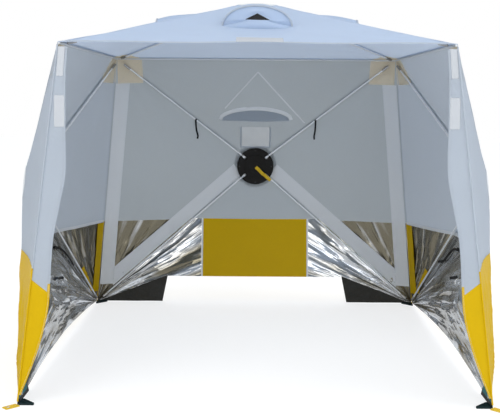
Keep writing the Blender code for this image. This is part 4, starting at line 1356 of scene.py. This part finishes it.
def makeBindings():
    # rolled seams along the four corners and the eaves
    values = binding
    profile = roundProfile(values["radius"], values["sides"])
    for side, sign in (("Left", -1), ("Right", 1)):
        for place, panel in (("Front", frontPanel), ("Rear", backPanel)):
            turn = sign if panel is frontPanel else -sign
            low, high = panel.foot(turn), panel.head(turn)
            split = (values["split"] if panel is frontPanel else values["rearSplit"]) / tent["eaveHeight"]
            head = values["top"] if panel is frontPanel else values["pocketLow"]
            parts = [("Upper", split, head, "wallCloth"),
                     ("Lower", values["low"], split - values["partGap"], "yellowCloth")]
            if panel is backPanel:
                parts.append(("Top", head + values["partGap"], values["top"], "patchCloth"))
            for part, start, end, paint in parts:
                line = [panel.matrix @ low.lerp(high, start + (end - start) * step / values["steps"])
                        for step in range(values["steps"] + 1)]
                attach(sweep(f"cornerSeam{place}{side}{part}", line, (1, 0, 0), profile, paint), "root")
    # the eave seams take the pale band cloth, lighter than the wall cloth they bind: painted light that lifts
    # the shade along the eaves
    reach = tent["eaveHalf"] - values["eaveInset"]
    for name, start, end in (("Back", (-1, 1), (1, 1)), ("Left", (-1, -1), (-1, 1)),
                             ("Right", (1, -1), (1, 1))):
        first, last = (Vector((x * reach, centreY + y * reach,
                               tent["eaveHeight"] - values["eaveDrop"])) for x, y in (start, end))
        line = [first.lerp(last, step / values["steps"]) for step in range(values["steps"] + 1)]
        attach(sweep(f"eaveSeam{name}", line, (0, 0, 1), roundProfile(values["eaveRadius"], 12),
                      "bandCloth"), "root")


makeBindings()

# Black tapes on the side walls, just behind the flanges
wallTies = {"width": 0.018, "thickness": 0.0012, "inset": 0.006,
            "left": [[(-0.30, -0.47), (-0.42, -0.495), (-0.5524, -0.5386), (-0.66, -0.60),
                      (-0.7641, -0.6769)],
                     [(-0.16, -0.655), (-0.25, -0.665), (-0.3146, -0.6819)]],
            "right": [[(0.20, -0.455), (0.3706, -0.4755), (0.47, -0.53), (0.5768, -0.5901),
                       (0.7485, -0.6257)],
                      [(0.05, -0.60), (0.15, -0.625), (0.234, -0.6468)]]}


def smoothLine(points, steps):
    # a curve through the given points
    points = [Vector(point) for point in points]
    padded = [points[0] * 2 - points[1]] + points + [points[-1] * 2 - points[-2]]
    line = []
    for index in range(1, len(padded) - 2):
        before, start, end, after = padded[index - 1:index + 3]
        for step in range(steps):
            t = step / steps
            line.append((start * 2 + (end - before) * t + (before * 2 - start * 5 + end * 4 - after) * t ** 2
                         + (start * 3 - before - end * 3 + after) * t ** 3) * 0.5)
    return line + [points[-1]]


def makeWallTies():
    for panel in (leftPanel, rightPanel):
        tapes = []
        for number, route in enumerate(wallTies[panel.name]):
            line = smoothLine([(x, y, 0) for x, y in route], 10)
            points = surface(panel, [spot.x for spot in line], [spot.y for spot in line], wallTies["inset"])
            facing = Vector(points[-1]) - Vector(points[0])
            tapes.append(sweep(f"{panel.name}Tie{number}", points, facing.cross(panel.normal),
                               tapeProfile(wallTies["width"], wallTies["thickness"]), "blackWebbing"))
        follow(joinPieces(f"{panel.name}WallTies", tapes, "blackWebbing"), panel)


makeWallTies()
print("flanges and ties ready")

# Roof hoods: a rounded cloth hood with a closed front and a small triangular mouth
hood = {"half": 0.197, "height": 0.118, "length": 0.36, "mouthPlace": 0.60, "seat": 0.0009, "rings": 20,
        "arc": 36,
        "sideHeight": 0.086, "lean": 0.060, "mouthHalf": 0.072, "mouthLow": 0.046, "mouthHigh": 0.080,
        "piping": 0.0055, "layers": 6, "closingBow": 0.010, "mouthDepth": 0.008, "frontShare": 0.985,
        "frontHeight": 0.97, "crease": 0.02, "creaseTurns": 9, "mouthGrow": 1.15, "growUp": 0.008,
        "growDown": 0.006}


def facetMatrix(panel, outward, distance):
    outward = Vector((*outward, 0))
    edge = outward * distance
    slope = outward * (distance * tent["crownShare"]) + Vector((0, 0, panel.bulge)) - edge
    yAxis = slope.normalized()
    normal = (Vector((0, 0, 1)) - yAxis * yAxis.z).normalized()
    matrix = Matrix((yAxis.cross(normal), yAxis, normal)).transposed().to_4x4()
    matrix.translation = edge
    return panel.matrix @ matrix


def settle(panel, matrix, points):
    # lowers points by the sag of the cloth below them
    world = [matrix @ Vector(point) for point in points]
    local = [panel.matrix.inverted() @ spot for spot in world]
    lift = relief(panel, np.array([spot.x for spot in local]), np.array([spot.y for spot in local]))
    return [spot + panel.normal * float(rise) for spot, rise in zip(world, lift)]


def hoodPatch(name, panel, matrix, grid, paint, thickness):
    # a sheet from rows of points in the hood's own frame, laid on the cloth
    uv = [[(x, z) for x, _, z in row] for row in grid]
    piece, area = gridPatch(name, [settle(panel, matrix, row) for row in grid], uv, paint, thickness, 0.0)
    return follow(piece, panel), area


def makeHoods():
    values, panel = hood, roofPanel
    slope = math.hypot(1.0, tent["roofRise"] / (tent["eaveHalf"] * (1 - tent["crownShare"])))
    mouth = (tent["eaveHalf"] - values["mouthPlace"]) * slope
    for name, outward in (("Front", (0, -1)), ("Left", (-1, 0)), ("Right", (1, 0))):
        matrix = facetMatrix(panel, outward, tent["eaveHalf"])
        high = values["height"] if name == "Front" else values["sideHeight"]
        rows, uv = [], []
        for ring in range(values["rings"] + 1):
            share = ring / values["rings"] * 0.995
            size = math.cos(share * math.pi / 2)
            row = []
            for step in range(values["arc"] + 1):
                angle = math.pi * step / values["arc"]
                ripple = math.sin(angle * values["creaseTurns"] + ring * 0.5)
                crease = 1 + values["crease"] * ripple * math.sin(share * math.pi)
                row.append((values["half"] * size * math.cos(angle), mouth + values["length"] * share,
                            values["seat"] + high * size * math.sin(angle) * crease))
            uv.append([(x, y) for x, y, _ in row])
            rows.append(settle(panel, matrix, row))
        shell, area = gridPatch(f"roofHood{name}Cloth", [row[::-1] for row in rows],
                                [row[::-1] for row in uv],
                                "roofCloth", cloth["thickness"])
        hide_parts(f"roof_hood_{name.lower()}")
        follow(shell, panel)
        arc = [(values["half"] * math.cos(math.pi * step / 48), mouth - 0.001,
                values["seat"] + high * math.sin(math.pi * step / 48)) for step in range(49)]
        piping = sweep(f"roofHood{name}Piping", settle(panel, matrix, arc),
                       matrix.to_3x3() @ Vector((0, 1, 0)),
                       roundProfile(values["piping"], 8), "wallCloth")
        follow(piping, panel)
        triangle = [Vector((values["mouthHalf"], 0, values["mouthLow"])), Vector((0, 0, values["mouthHigh"])),
                    Vector((-values["mouthHalf"], 0, values["mouthLow"]))]
        centre = (triangle[0] + triangle[1] + triangle[2]) / 3
        outline = []                       # the arc, then the curved line where the front meets the roof
        for step in range(61):
            angle = math.pi * step / 60
            outline.append(Vector((values["half"] * values["frontShare"] * math.cos(angle), 0.003,
                                   values["seat"] + high * values["frontHeight"] * math.sin(angle))))
        for step in range(1, 30):
            place = -1 + 2 * step / 30
            outline.append(Vector((values["half"] * values["frontShare"] * place,
                                   -values["lean"] * math.sqrt(1 - place ** 2),
                                   values["seat"])))
        outline.append(outline[0].copy())
        grid = []
        for ring in range(values["layers"] + 1):
            share = ring / values["layers"]
            row = []
            for spot in outline:
                away = Vector((spot.x - centre.x, 0, spot.z - centre.z))
                inner = centre + away * min(crossing(centre, away, triangle), 1.0)
                inner.y = -values["lean"] * (1 - inner.z / high)
                point = inner.lerp(spot, share)
                point.y -= values["closingBow"] * math.sin(math.pi * share)
                row.append((point.x, mouth + point.y, point.z))
            grid.append(row)
        front, frontArea = hoodPatch(f"roofHood{name}Closing", panel, matrix, grid, "roofCloth", 0.0010)
        # the black sheet a little behind the triangular mouth is painted shade: it stands in for the dark
        # inside of the hood seen through the mouth
        grid = []
        for ring in range(values["layers"] + 1):
            spots = [centre.lerp(spot, ring / values["layers"]) for spot in blackOutline(triangle)]
            grid.append([(spot.x, mouth - values["lean"] * (1 - spot.z / high) + values["mouthDepth"], spot.z)
                         for spot in spots])
        shadeSheet, _ = hoodPatch(f"roofHood{name}MouthShade", panel, matrix, grid, "blackCloth", 0.0008)
        declareSheet(shell, area, [piping, shadeSheet])
        declareSheet(front, frontArea)


def crossing(centre, away, triangle):
    # share of the way at which a ray from the centre meets the triangle
    best = 9.0
    for index in range(3):
        start, end = triangle[index], triangle[(index + 1) % 3]
        run = end - start
        cross = away.x * run.z - away.z * run.x
        if abs(cross) < 1e-9:
            continue
        gap = start - centre
        share = (gap.x * run.z - gap.z * run.x) / cross
        along = (gap.x * away.z - gap.z * away.x) / cross
        if share > 0 and -1e-6 <= along <= 1 + 1e-6:
            best = min(best, share)
    return best


def blackOutline(triangle):
    grown = [Vector((spot.x * hood["mouthGrow"], 0,
                     spot.z + (hood["growUp"] if spot.x == 0 else -hood["growDown"]))) for spot in triangle]
    line = []
    for index in range(3):
        for step in range(10):
            line.append(grown[index].lerp(grown[(index + 1) % 3], step / 10))
    return line + [grown[0]]


makeHoods()
print("hoods ready")

# Hubs and rods keep their solids; screws, ribs, straps, ferrules and ties are added
hubShape = {"depth": 0.038, "thickness": 0.024, "pinCircle": 0.115, "screwCircle": 0.128,
            "screwRadius": 0.0045,
            "screwHeight": 0.002, "ribInner": 0.046, "ribOuter": 0.084, "ribWidth": 0.003,
            "ribHeight": 0.0018,
            "ribs": 20, "ringRadius": 0.090, "ringRound": 0.0016, "rimRing": 0.140, "ribGap": 0.005,
            "loopHalf": 0.055, "loopWidth": 0.022, "loopThick": 0.0018, "loopLift": 0.0015, "loopArch": 0.009,
            "roofLoopArch": 0.0005, "screwSink": 0.0006}
rodShape = {"tipMargin": 0.036, "tipInset": 0.004, "ferruleLength": 0.055, "ferruleRadius": 0.0086,
            "radius": 0.006}
strapShape = {"width": 0.026, "thickness": 0.0022, "start": 0.006, "end": 0.138, "arch": 0.022, "foot": 0.020,
              "angleShare": 0.98, "steps": 40, "seat": 0.0004, "tails": ((0.012, 0.003), (0.026, 0.009))}


def hubFrame(panel):
    return panel.matrix @ Matrix.Translation((0, 0, panel.bulge - hubShape["depth"]))


def buildRingTree():
    # round heads or bars set in a circle
    tree, keys = newTree("ringPattern", {"Geometry": "Geometry", "Count": "Int", "Circle": "Float",
                                         "Size": "Vector", "Sides": "Int", "Paint": "Material"})
    source = treeNode(tree, "NodeGroupInput").outputs
    ring = treeNode(tree, "GeometryNodeMeshCircle", None,
                    {"Vertices": source["Count"], "Radius": source["Circle"]})
    turn = treeNode(tree, "FunctionNodeAlignRotationToVector", {"axis": "X"},
                    {"Vector": treeNode(tree, "GeometryNodeInputPosition").outputs[0]})
    head = treeNode(tree, "GeometryNodeMeshCylinder", None, {"Vertices": source["Sides"], "Radius": 1.0,
                                                             "Depth": 1.0})
    spots = treeNode(tree, "GeometryNodeInstanceOnPoints", None,
                     {"Points": ring.outputs[0], "Instance": head.outputs[0], "Rotation": turn.outputs[0],
                      "Scale": source["Size"]})
    finishTree(tree, spots.outputs[0], source["Paint"])
    return tree, keys


ringTree, ringKeys = buildRingTree()


def ringPattern(name, matrix, paint, **values):
    holder = addObject(name + "Source", bpy.data.meshes.new(name + "Source"))
    values["paint"] = materials[paint]
    mesh = runTree(holder, ringTree, ringKeys, values, name)
    mesh.transform(matrix)
    return linkMesh(name, mesh, paint)


def makeHubs():
    values, strap = hubShape, strapShape
    for panel in hubPanels:
        body, seat = f"{panel.name}_hub", hubFrame(panel)
        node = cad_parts[body]
        for index in range(max(len(node.material_slots), 1)):
            if len(node.material_slots) <= index:
                node.data.materials.append(materials["hubPlastic"])
            node.material_slots[index].material = materials["hubPlastic"]
        face = -values["thickness"] / 2
        screws = ringPattern(f"{panel.name}HubScrews",
                             seat @ Matrix.Translation((0, 0, face - values["screwSink"])), "screwMetal",
                             count=4, circle=values["screwCircle"], sides=14,
                             size=(values["screwRadius"], values["screwRadius"], values["screwHeight"]))
        middle = (values["ribInner"] + values["ribOuter"]) / 2
        ribs = ringPattern(f"{panel.name}HubRibs",
                           seat @ Matrix.Translation((0, 0, face - values["ribHeight"] / 2)),
                           "hubPlastic", count=values["ribs"], circle=middle, sides=4,
                           size=((values["ribOuter"] - values["ribInner"]) / 2, values["ribWidth"] / 2 * 1.4,
                                 values["ribHeight"]))
        rings = []
        for number, radius in enumerate((values["ringRadius"], values["ribInner"] - values["ribGap"],
                                         values["rimRing"])):
            circle = [seat @ Vector((x, y, face)) for x, y in roundProfile(radius, 72)]
            rings.append(sweep(f"{panel.name}Ring{number}", circle, panel.normal,
                               roundProfile(values["ringRound"], 8), "hubPlastic", closedLoop=True))
        ring = joinPieces(f"{panel.name}HubRings", rings, "hubPlastic")
        low = panel.corners[0]
        turn = Matrix.Rotation(math.atan2(low[1], low[0]) * strap["angleShare"], 4, "Z")
        start, length = strap["start"] + strap["foot"], strap["end"] - strap["start"] - 2 * strap["foot"]
        top = face - strap["seat"] - strap["thickness"] / 2
        spine = [(strap["start"], top)]
        for step in range(strap["steps"] + 1):
            share = step / strap["steps"]
            spine.append((start + length * share, top - strap["arch"] * math.sin(math.pi * share) ** 2))
        spine += [(strap["end"] + run, top - fall) for run, fall in ((0, 0), *strap["tails"])]
        points = [seat @ turn @ Vector((x, 0, z)) for x, z in spine]
        pull = sweep(f"{panel.name}PullStrapTape", points, (seat @ turn).to_3x3() @ Vector((0, 1, 0)),
                     tapeProfile(strap["width"], strap["thickness"]), "yellowWebbing")
        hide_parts(f"{panel.name}_pull_strap")
        arch = values["loopArch"] if panel is not roofPanel else values["roofLoopArch"]
        loop = []
        for step in range(25):
            angle = math.pi * step / 24
            height = panel.bulge + values["loopLift"] + arch * math.sin(angle) ** 1.5
            loop.append(panel.matrix @ Vector((values["loopHalf"] * math.cos(angle), 0, height)))
        outer = sweep(f"{panel.name}OuterLoop", loop, panel.matrix.to_3x3() @ Vector((0, 1, 0)),
                      tapeProfile(values["loopWidth"], values["loopThick"]), "yellowWebbing")
        for piece in (screws, ribs, ring, pull):
            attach(piece, body)
        follow(outer, panel)


def rodFrame(panel, index):
    # where a rod sits at rest: x along the rod from its pin
    corner = Vector((*panel.corners[index], 0))
    way = corner.normalized()
    length = corner.length - rodShape["tipMargin"] - hubShape["pinCircle"]
    tilt = math.asin((panel.bulge - hubShape["depth"] + rodShape["tipInset"]) / length)
    along = way * math.cos(tilt) - Vector((0, 0, math.sin(tilt)))
    pin = way.cross(Vector((0, 0, 1)))
    matrix = Matrix((along, pin, along.cross(pin))).transposed().to_4x4()
    matrix.translation = way * hubShape["pinCircle"] + Vector((0, 0, panel.bulge - hubShape["depth"]))
    return panel.matrix @ matrix, length


rodNames = {"back": ("lower_right", "lower_left", "upper_left", "upper_right"),
            "left": ("lower_rear", "lower_front", "upper_front", "upper_rear"),
            "right": ("lower_front", "lower_rear", "upper_rear", "upper_front"),
            "roof": ("front_left", "front_right", "rear_right", "rear_left")}


def turnedRing(name, matrix, profile, sides, paint):
    # a closed turned piece round the local x axis, from (x, radius) points
    bm = bmesh.new()
    rows = []
    for step in range(sides):
        angle = 2 * math.pi * step / sides
        rows.append([bm.verts.new(matrix @ Vector((x, radius * math.cos(angle), radius * math.sin(angle))))
                     for x, radius in profile])
    count = len(profile)
    for step in range(sides):
        first, second = rows[step], rows[(step + 1) % sides]
        for index in range(count):
            following = (index + 1) % count
            bm.faces.new((first[index], second[index], second[following], first[following]))
    bmesh.ops.remove_doubles(bm, verts=bm.verts, dist=1e-6)
    bmesh.ops.recalc_face_normals(bm, faces=bm.faces)
    return linkMesh(name, finishMesh(name, bm, 40), paint)


def makeRods():
    shape = rodShape
    for panel in hubPanels:
        for index, rodName in enumerate(rodNames[panel.name]):
            body = f"{panel.name}_rod_{rodName}"
            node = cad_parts[body]
            node.data.materials.clear()
            node.data.materials.append(materials["rodCoat"])
            matrix, length = rodFrame(panel, index)
            start, radius = length - shape["ferruleLength"] - 0.001, shape["ferruleRadius"]
            profile = [(start, shape["radius"] + 0.0001), (start + 0.001, radius), (start + 0.018, radius),
                       (start + 0.020, radius - 0.0004), (start + 0.022, radius - 0.0004),
                       (start + 0.024, radius),
                       (length - 0.001, radius), (length + 0.0012, radius - 0.002), (length + 0.0012, 0.0035),
                       (length + 0.0002, 0.003), (length + 0.0002, shape["radius"] * 0.3), (start, 0.0025)]
            ferrule = turnedRing(f"{body}_ferrule", matrix, profile, 20, "ferruleMetal")
            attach(ferrule, body)


rodTie = {"place": 0.50, "width": 0.014, "tail": 0.14, "thickness": 0.0018}


def makeRodTies():
    values = rodTie
    for name, index in (("left", 2), ("right", 3)):
        matrix, _ = rodFrame(backPanel, index)
        body = f"back_rod_upper_{name}"
        middle = values["place"] + values["width"] / 2
        hang = rodShape["radius"] + 0.0014
        wrap = [matrix @ Vector((middle, y, z)) for y, z in roundProfile(hang, 20)]
        band = sweep(f"rodTieWrap_{name}", wrap, matrix.to_3x3() @ Vector((1, 0, 0)),
                     tapeProfile(values["width"], values["thickness"]), "blackWebbing", closedLoop=True)
        top = matrix @ Vector((middle, 0, 0)) - Vector((0, 0, hang))
        sign = 1 if name == "left" else -0.6
        line = smoothLine([top, top + Vector((0.001 * sign, -0.002, -0.03)),
                           top + Vector((0.006 * sign, -0.004, -0.075)),
                           top + Vector((0.016 * sign, -0.001, -0.115)),
                           top + Vector((0.012 * sign, 0, -values["tail"]))], 10)
        tail = sweep(f"rodTieTail_{name}", line, (1, 0.25, 0),
                     tapeProfile(values["width"], values["thickness"]),
                     "blackWebbing")
        tie = joinPieces(f"rodTie_{name}Tape", [band, tail], "blackWebbing")
        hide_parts(f"rod_tie_{name}")
        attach(tie, body)


makeHubs()
makeRods()
makeRodTies()
print("hubs and rods ready")

# Feet: small rubber pads in place of the solids, each with a yellow peg tab and an eyelet
foot = {"wallGap": 0.006, "tabReach": 0.075, "tabWidth": 0.045, "tabThickness": 0.0022, "tabLift": 0.002,
        "eyeletEdge": 0.0144, "eyeletRadius": 0.0065, "cover": 0.0008, "padSize": 0.080, "padShort": 0.028,
        "padHeight": 0.012, "padBevel": 0.0035, "tabSteps": 32, "coverEdge": 0.0006, "coverOver": 0.010,
        "coverStart": 0.004, "ringGap": 0.0015, "ringInset": 0.001, "ringRadius": 0.0024}


def makePad(name, place, sideSign, depthSign):
    # a three-cornered rubber pad that lies in the tent's corner
    size, short, high = foot["padSize"], foot["padShort"], foot["padHeight"]
    outline = [(0, 0), (-size, 0), (-size, -short * 0.5), (-short, -size + short * 0.5),
               (-short * 0.5, -size),
               (0, -size)]
    if sideSign * depthSign < 0:
        outline.reverse()
    bm = bmesh.new()
    low = [bm.verts.new(place @ Vector((x * sideSign, y * depthSign, 0))) for x, y in outline]
    top = [bm.verts.new(place @ Vector((x * sideSign, y * depthSign, high))) for x, y in outline]
    bm.faces.new(low)
    bm.faces.new(top[::-1])
    for step in range(len(outline)):
        after = (step + 1) % len(outline)
        bm.faces.new((low[step], top[step], top[after], low[after]))
    bmesh.ops.recalc_face_normals(bm, faces=bm.faces)
    bmesh.ops.bevel(bm, geom=bm.edges[:], offset=foot["padBevel"], segments=3, profile=0.6, affect="EDGES")
    pad = linkMesh(name + "_pad", finishMesh(name + "Pad", bm, 40), "footRubber")
    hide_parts(name)
    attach(pad, "root")


def makeFeet():
    values = foot
    for depthName, depthSign in (("front", -1), ("rear", 1)):
        for sideName, sideSign in (("left", -1), ("right", 1)):
            inner = tent["baseHalf"] - values["wallGap"]
            place = Matrix.Translation((sideSign * inner, centreY + depthSign * inner, 0))
            makePad(f"foot_{depthName}_{sideName}", place, sideSign, depthSign)
            turn = Matrix.Rotation(math.atan2(depthSign, sideSign), 4, "Z")
            matrix = place @ turn
            eyelet = values["tabReach"] - values["eyeletEdge"]
            low = values["tabLift"] - values["cover"]
            high = values["tabLift"] + values["tabThickness"] + values["cover"]
            half, end = values["tabWidth"] / 2 + values["coverEdge"], values["tabReach"] + values["coverOver"]
            steps, start = values["tabSteps"], values["coverStart"]
            clear = values["eyeletRadius"] + values["ringGap"]
            bm = bmesh.new()
            layer = bm.loops.layers.uv.new("UVMap")
            outline, hole = [], []
            for step in range(steps):
                angle = 2 * math.pi * step / steps
                ahead = end - eyelet if math.cos(angle) > 0 else eyelet - start
                reach = min(abs(ahead / (math.cos(angle) or 1e-9)), abs(half / (math.sin(angle) or 1e-9)))
                outline.append((eyelet + reach * math.cos(angle), reach * math.sin(angle)))
                hole.append((eyelet + clear * math.cos(angle), clear * math.sin(angle)))
            loops = []
            for level, ring in ((low, hole), (low, outline), (high, outline), (high, hole)):
                loops.append([bm.verts.new(matrix @ Vector((x, y, level))) for x, y in ring])
            flats = [hole, outline, outline, hole]
            for index in range(4):
                following = (index + 1) % 4
                for step in range(steps):
                    after = (step + 1) % steps
                    face = bm.faces.new((loops[index][step], loops[index][after], loops[following][after],
                                         loops[following][step]))
                    spots = (flats[index][step], flats[index][after], flats[following][after],
                             flats[following][step])
                    for corner, (x, y) in zip(face.loops, spots):
                        corner[layer].uv = (y, x)
            bmesh.ops.recalc_face_normals(bm, faces=bm.faces)
            mesh = bpy.data.meshes.new("tab")
            bm.to_mesh(mesh)
            bm.free()
            tab = linkMesh(f"pegTab_{depthName}_{sideName}", mesh, "yellowWebbing")
            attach(tab, "root")
            circle = [matrix @ Vector((eyelet + x, y, (low + high) / 2)) for x,
                      y in roundProfile(clear + values["ringInset"], 28)]
            ring = sweep(f"pegEyelet_{depthName}_{sideName}", circle, (0, 0, 1),
                         roundProfile(values["ringRadius"], 10),
                         "eyeletMetal", closedLoop=True)
            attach(ring, "root")


makeFeet()

# near and far edge from the corner, low and high edge from the ground, depth behind the cloth
gusset = {"blackCloth": (0.006, 0.255, 0.0, 0.040, 0.0004), "tealCloth": (0.020, 0.235, 0.022, 0.090, 0.0018)}


def makeGussets():
    # teal and black corner reinforcements inside the front corners of the side walls
    for panel, sign in ((leftPanel, 1), (rightPanel, -1)):
        for paint, (near, far, low, high, depth) in gusset.items():
            region = [halfSpace((sign * (tent["baseHalf"] - far), 0, 0), (sign, 0, 0)),
                      panel.sidePlane(sign, near),
                      panel.heightPlane(low, True, 0.0), panel.heightPlane(high, False, 0.0)]
            makeSheet(f"{panel.name}Gusset{paint[:5].title()}", None, "stretched", [f"{panel.name}_lower"],
                      panel,
                      [region], paint, inset=cloth["thickness"] + depth, rings=24, cells=110, innerShare=0.8,
                      thickness=0.0010)


makeGussets()

# Thread along every seam, one mesh for each panel
for panelName, lines in seams.items():
    thread = sew(f"{panelName}Stitches", lines, "paleThread")
    follow(thread, walls.get(panelName, roofPanel))
print("stitches ready:", sum(len(lines) for lines in seams.values()), "lines")

# Studio: pale floor, soft lamps and a plain bright backdrop
studio = {"floorSize": 60.0, "floorDrop": 0.0006, "world": 0.76, "worldColour": (0.95, 0.975, 1.0, 1),
          "lamps": [((0.9, -8.4, 2.4), 4.0, 150.0, (1.0, 0.99, 0.97)),
                    ((-4.5, -5.5, 6.0), 5.0, 220.0, (1.0, 0.98, 0.95)),
                    ((5.5, -2.0, 5.5), 4.5, 170.0, (0.96, 0.975, 1.0)),
                    ((0.5, 6.5, 5.5), 5.0, 30.0, (0.97, 0.98, 1.0))],
          "floorGlow": (0.55, 1.28)}


def makeStudio():
    mesh = bpy.data.meshes.new("studioFloor")
    half = studio["floorSize"] / 2
    mesh.from_pydata([(x * half, y * half, -studio["floorDrop"]) for x,
                      y in ((-1, -1), (1, -1), (1, 1), (-1, 1))],
                     [], [(0, 1, 2, 3)])
    floor = addObject("studioFloor", mesh)
    paint = Paint("floorPaint")
    tone = paint.grain(0.8, 2.0)
    paint.set(Base_Color=paint.blend(tone, (0.83, 0.84, 0.85, 1), (0.87, 0.88, 0.89, 1)), Roughness=0.85)
    # seen directly or in the foil, the floor is nearly as white as the backdrop
    seen = 0.0
    for ray in ("Is Camera Ray", "Is Glossy Ray", "Is Transmission Ray"):
        seen = paint.add("ShaderNodeMath", {"operation": "MAXIMUM"},
                         {0: paint.add("ShaderNodeLightPath", output=ray), 1: seen})
    share, strength = studio["floorGlow"]
    glow = paint.add("ShaderNodeEmission", None, {"Color": (1, 1, 1, 1), "Strength": strength})
    paint.mixIn(seen * share, glow)
    mesh.materials.append(paint.material)
    floor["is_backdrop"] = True
    for number, (place, size, power, colour) in enumerate(studio["lamps"]):
        lamp = addObject(f"lamp{number}", bpy.data.lights.new(f"lamp{number}", "AREA"))
        lamp.data.size, lamp.data.energy, lamp.data.color = size, power, colour
        lamp.location = place
        aim = Vector((0, centreY, 1.0)) - Vector(place)
        lamp.rotation_euler = aim.to_track_quat("-Z", "Y").to_euler()
    world = bpy.data.worlds.new("studioWorld")
    world.use_nodes = True
    bpy.context.scene.world = world
    tree = world.node_tree
    tree.nodes.clear()
    rays = treeNode(tree, "ShaderNodeLightPath").outputs
    seen = treeNode(tree, "ShaderNodeMath", {"operation": "MAXIMUM"},
                    {0: rays["Is Camera Ray"], 1: rays["Is Glossy Ray"]})
    clear = treeNode(tree, "ShaderNodeMath", {"operation": "MAXIMUM"},
                     {0: seen.outputs[0], 1: rays["Is Transmission Ray"]})
    soft = treeNode(tree, "ShaderNodeBackground", None,
                    {"Color": studio["worldColour"], "Strength": studio["world"]})
    white = treeNode(tree, "ShaderNodeBackground", None, {"Color": (1, 1, 1, 1), "Strength": 1.0})
    mix = treeNode(tree, "ShaderNodeMixShader", None,
                   {0: clear.outputs[0], 1: soft.outputs[0], 2: white.outputs[0]})
    treeNode(tree, "ShaderNodeOutputWorld", None, {"Surface": mix.outputs[0]})


makeStudio()
bpy.context.scene.view_settings.view_transform = "Standard"

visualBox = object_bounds()
sizes = {"model": [list(corner) for corner in modelBox], "visual": [list(corner) for corner in visualBox]}
print("boxes:", [[round(part, 3) for part in corner] for corner in sizes["model"] + sizes["visual"]])
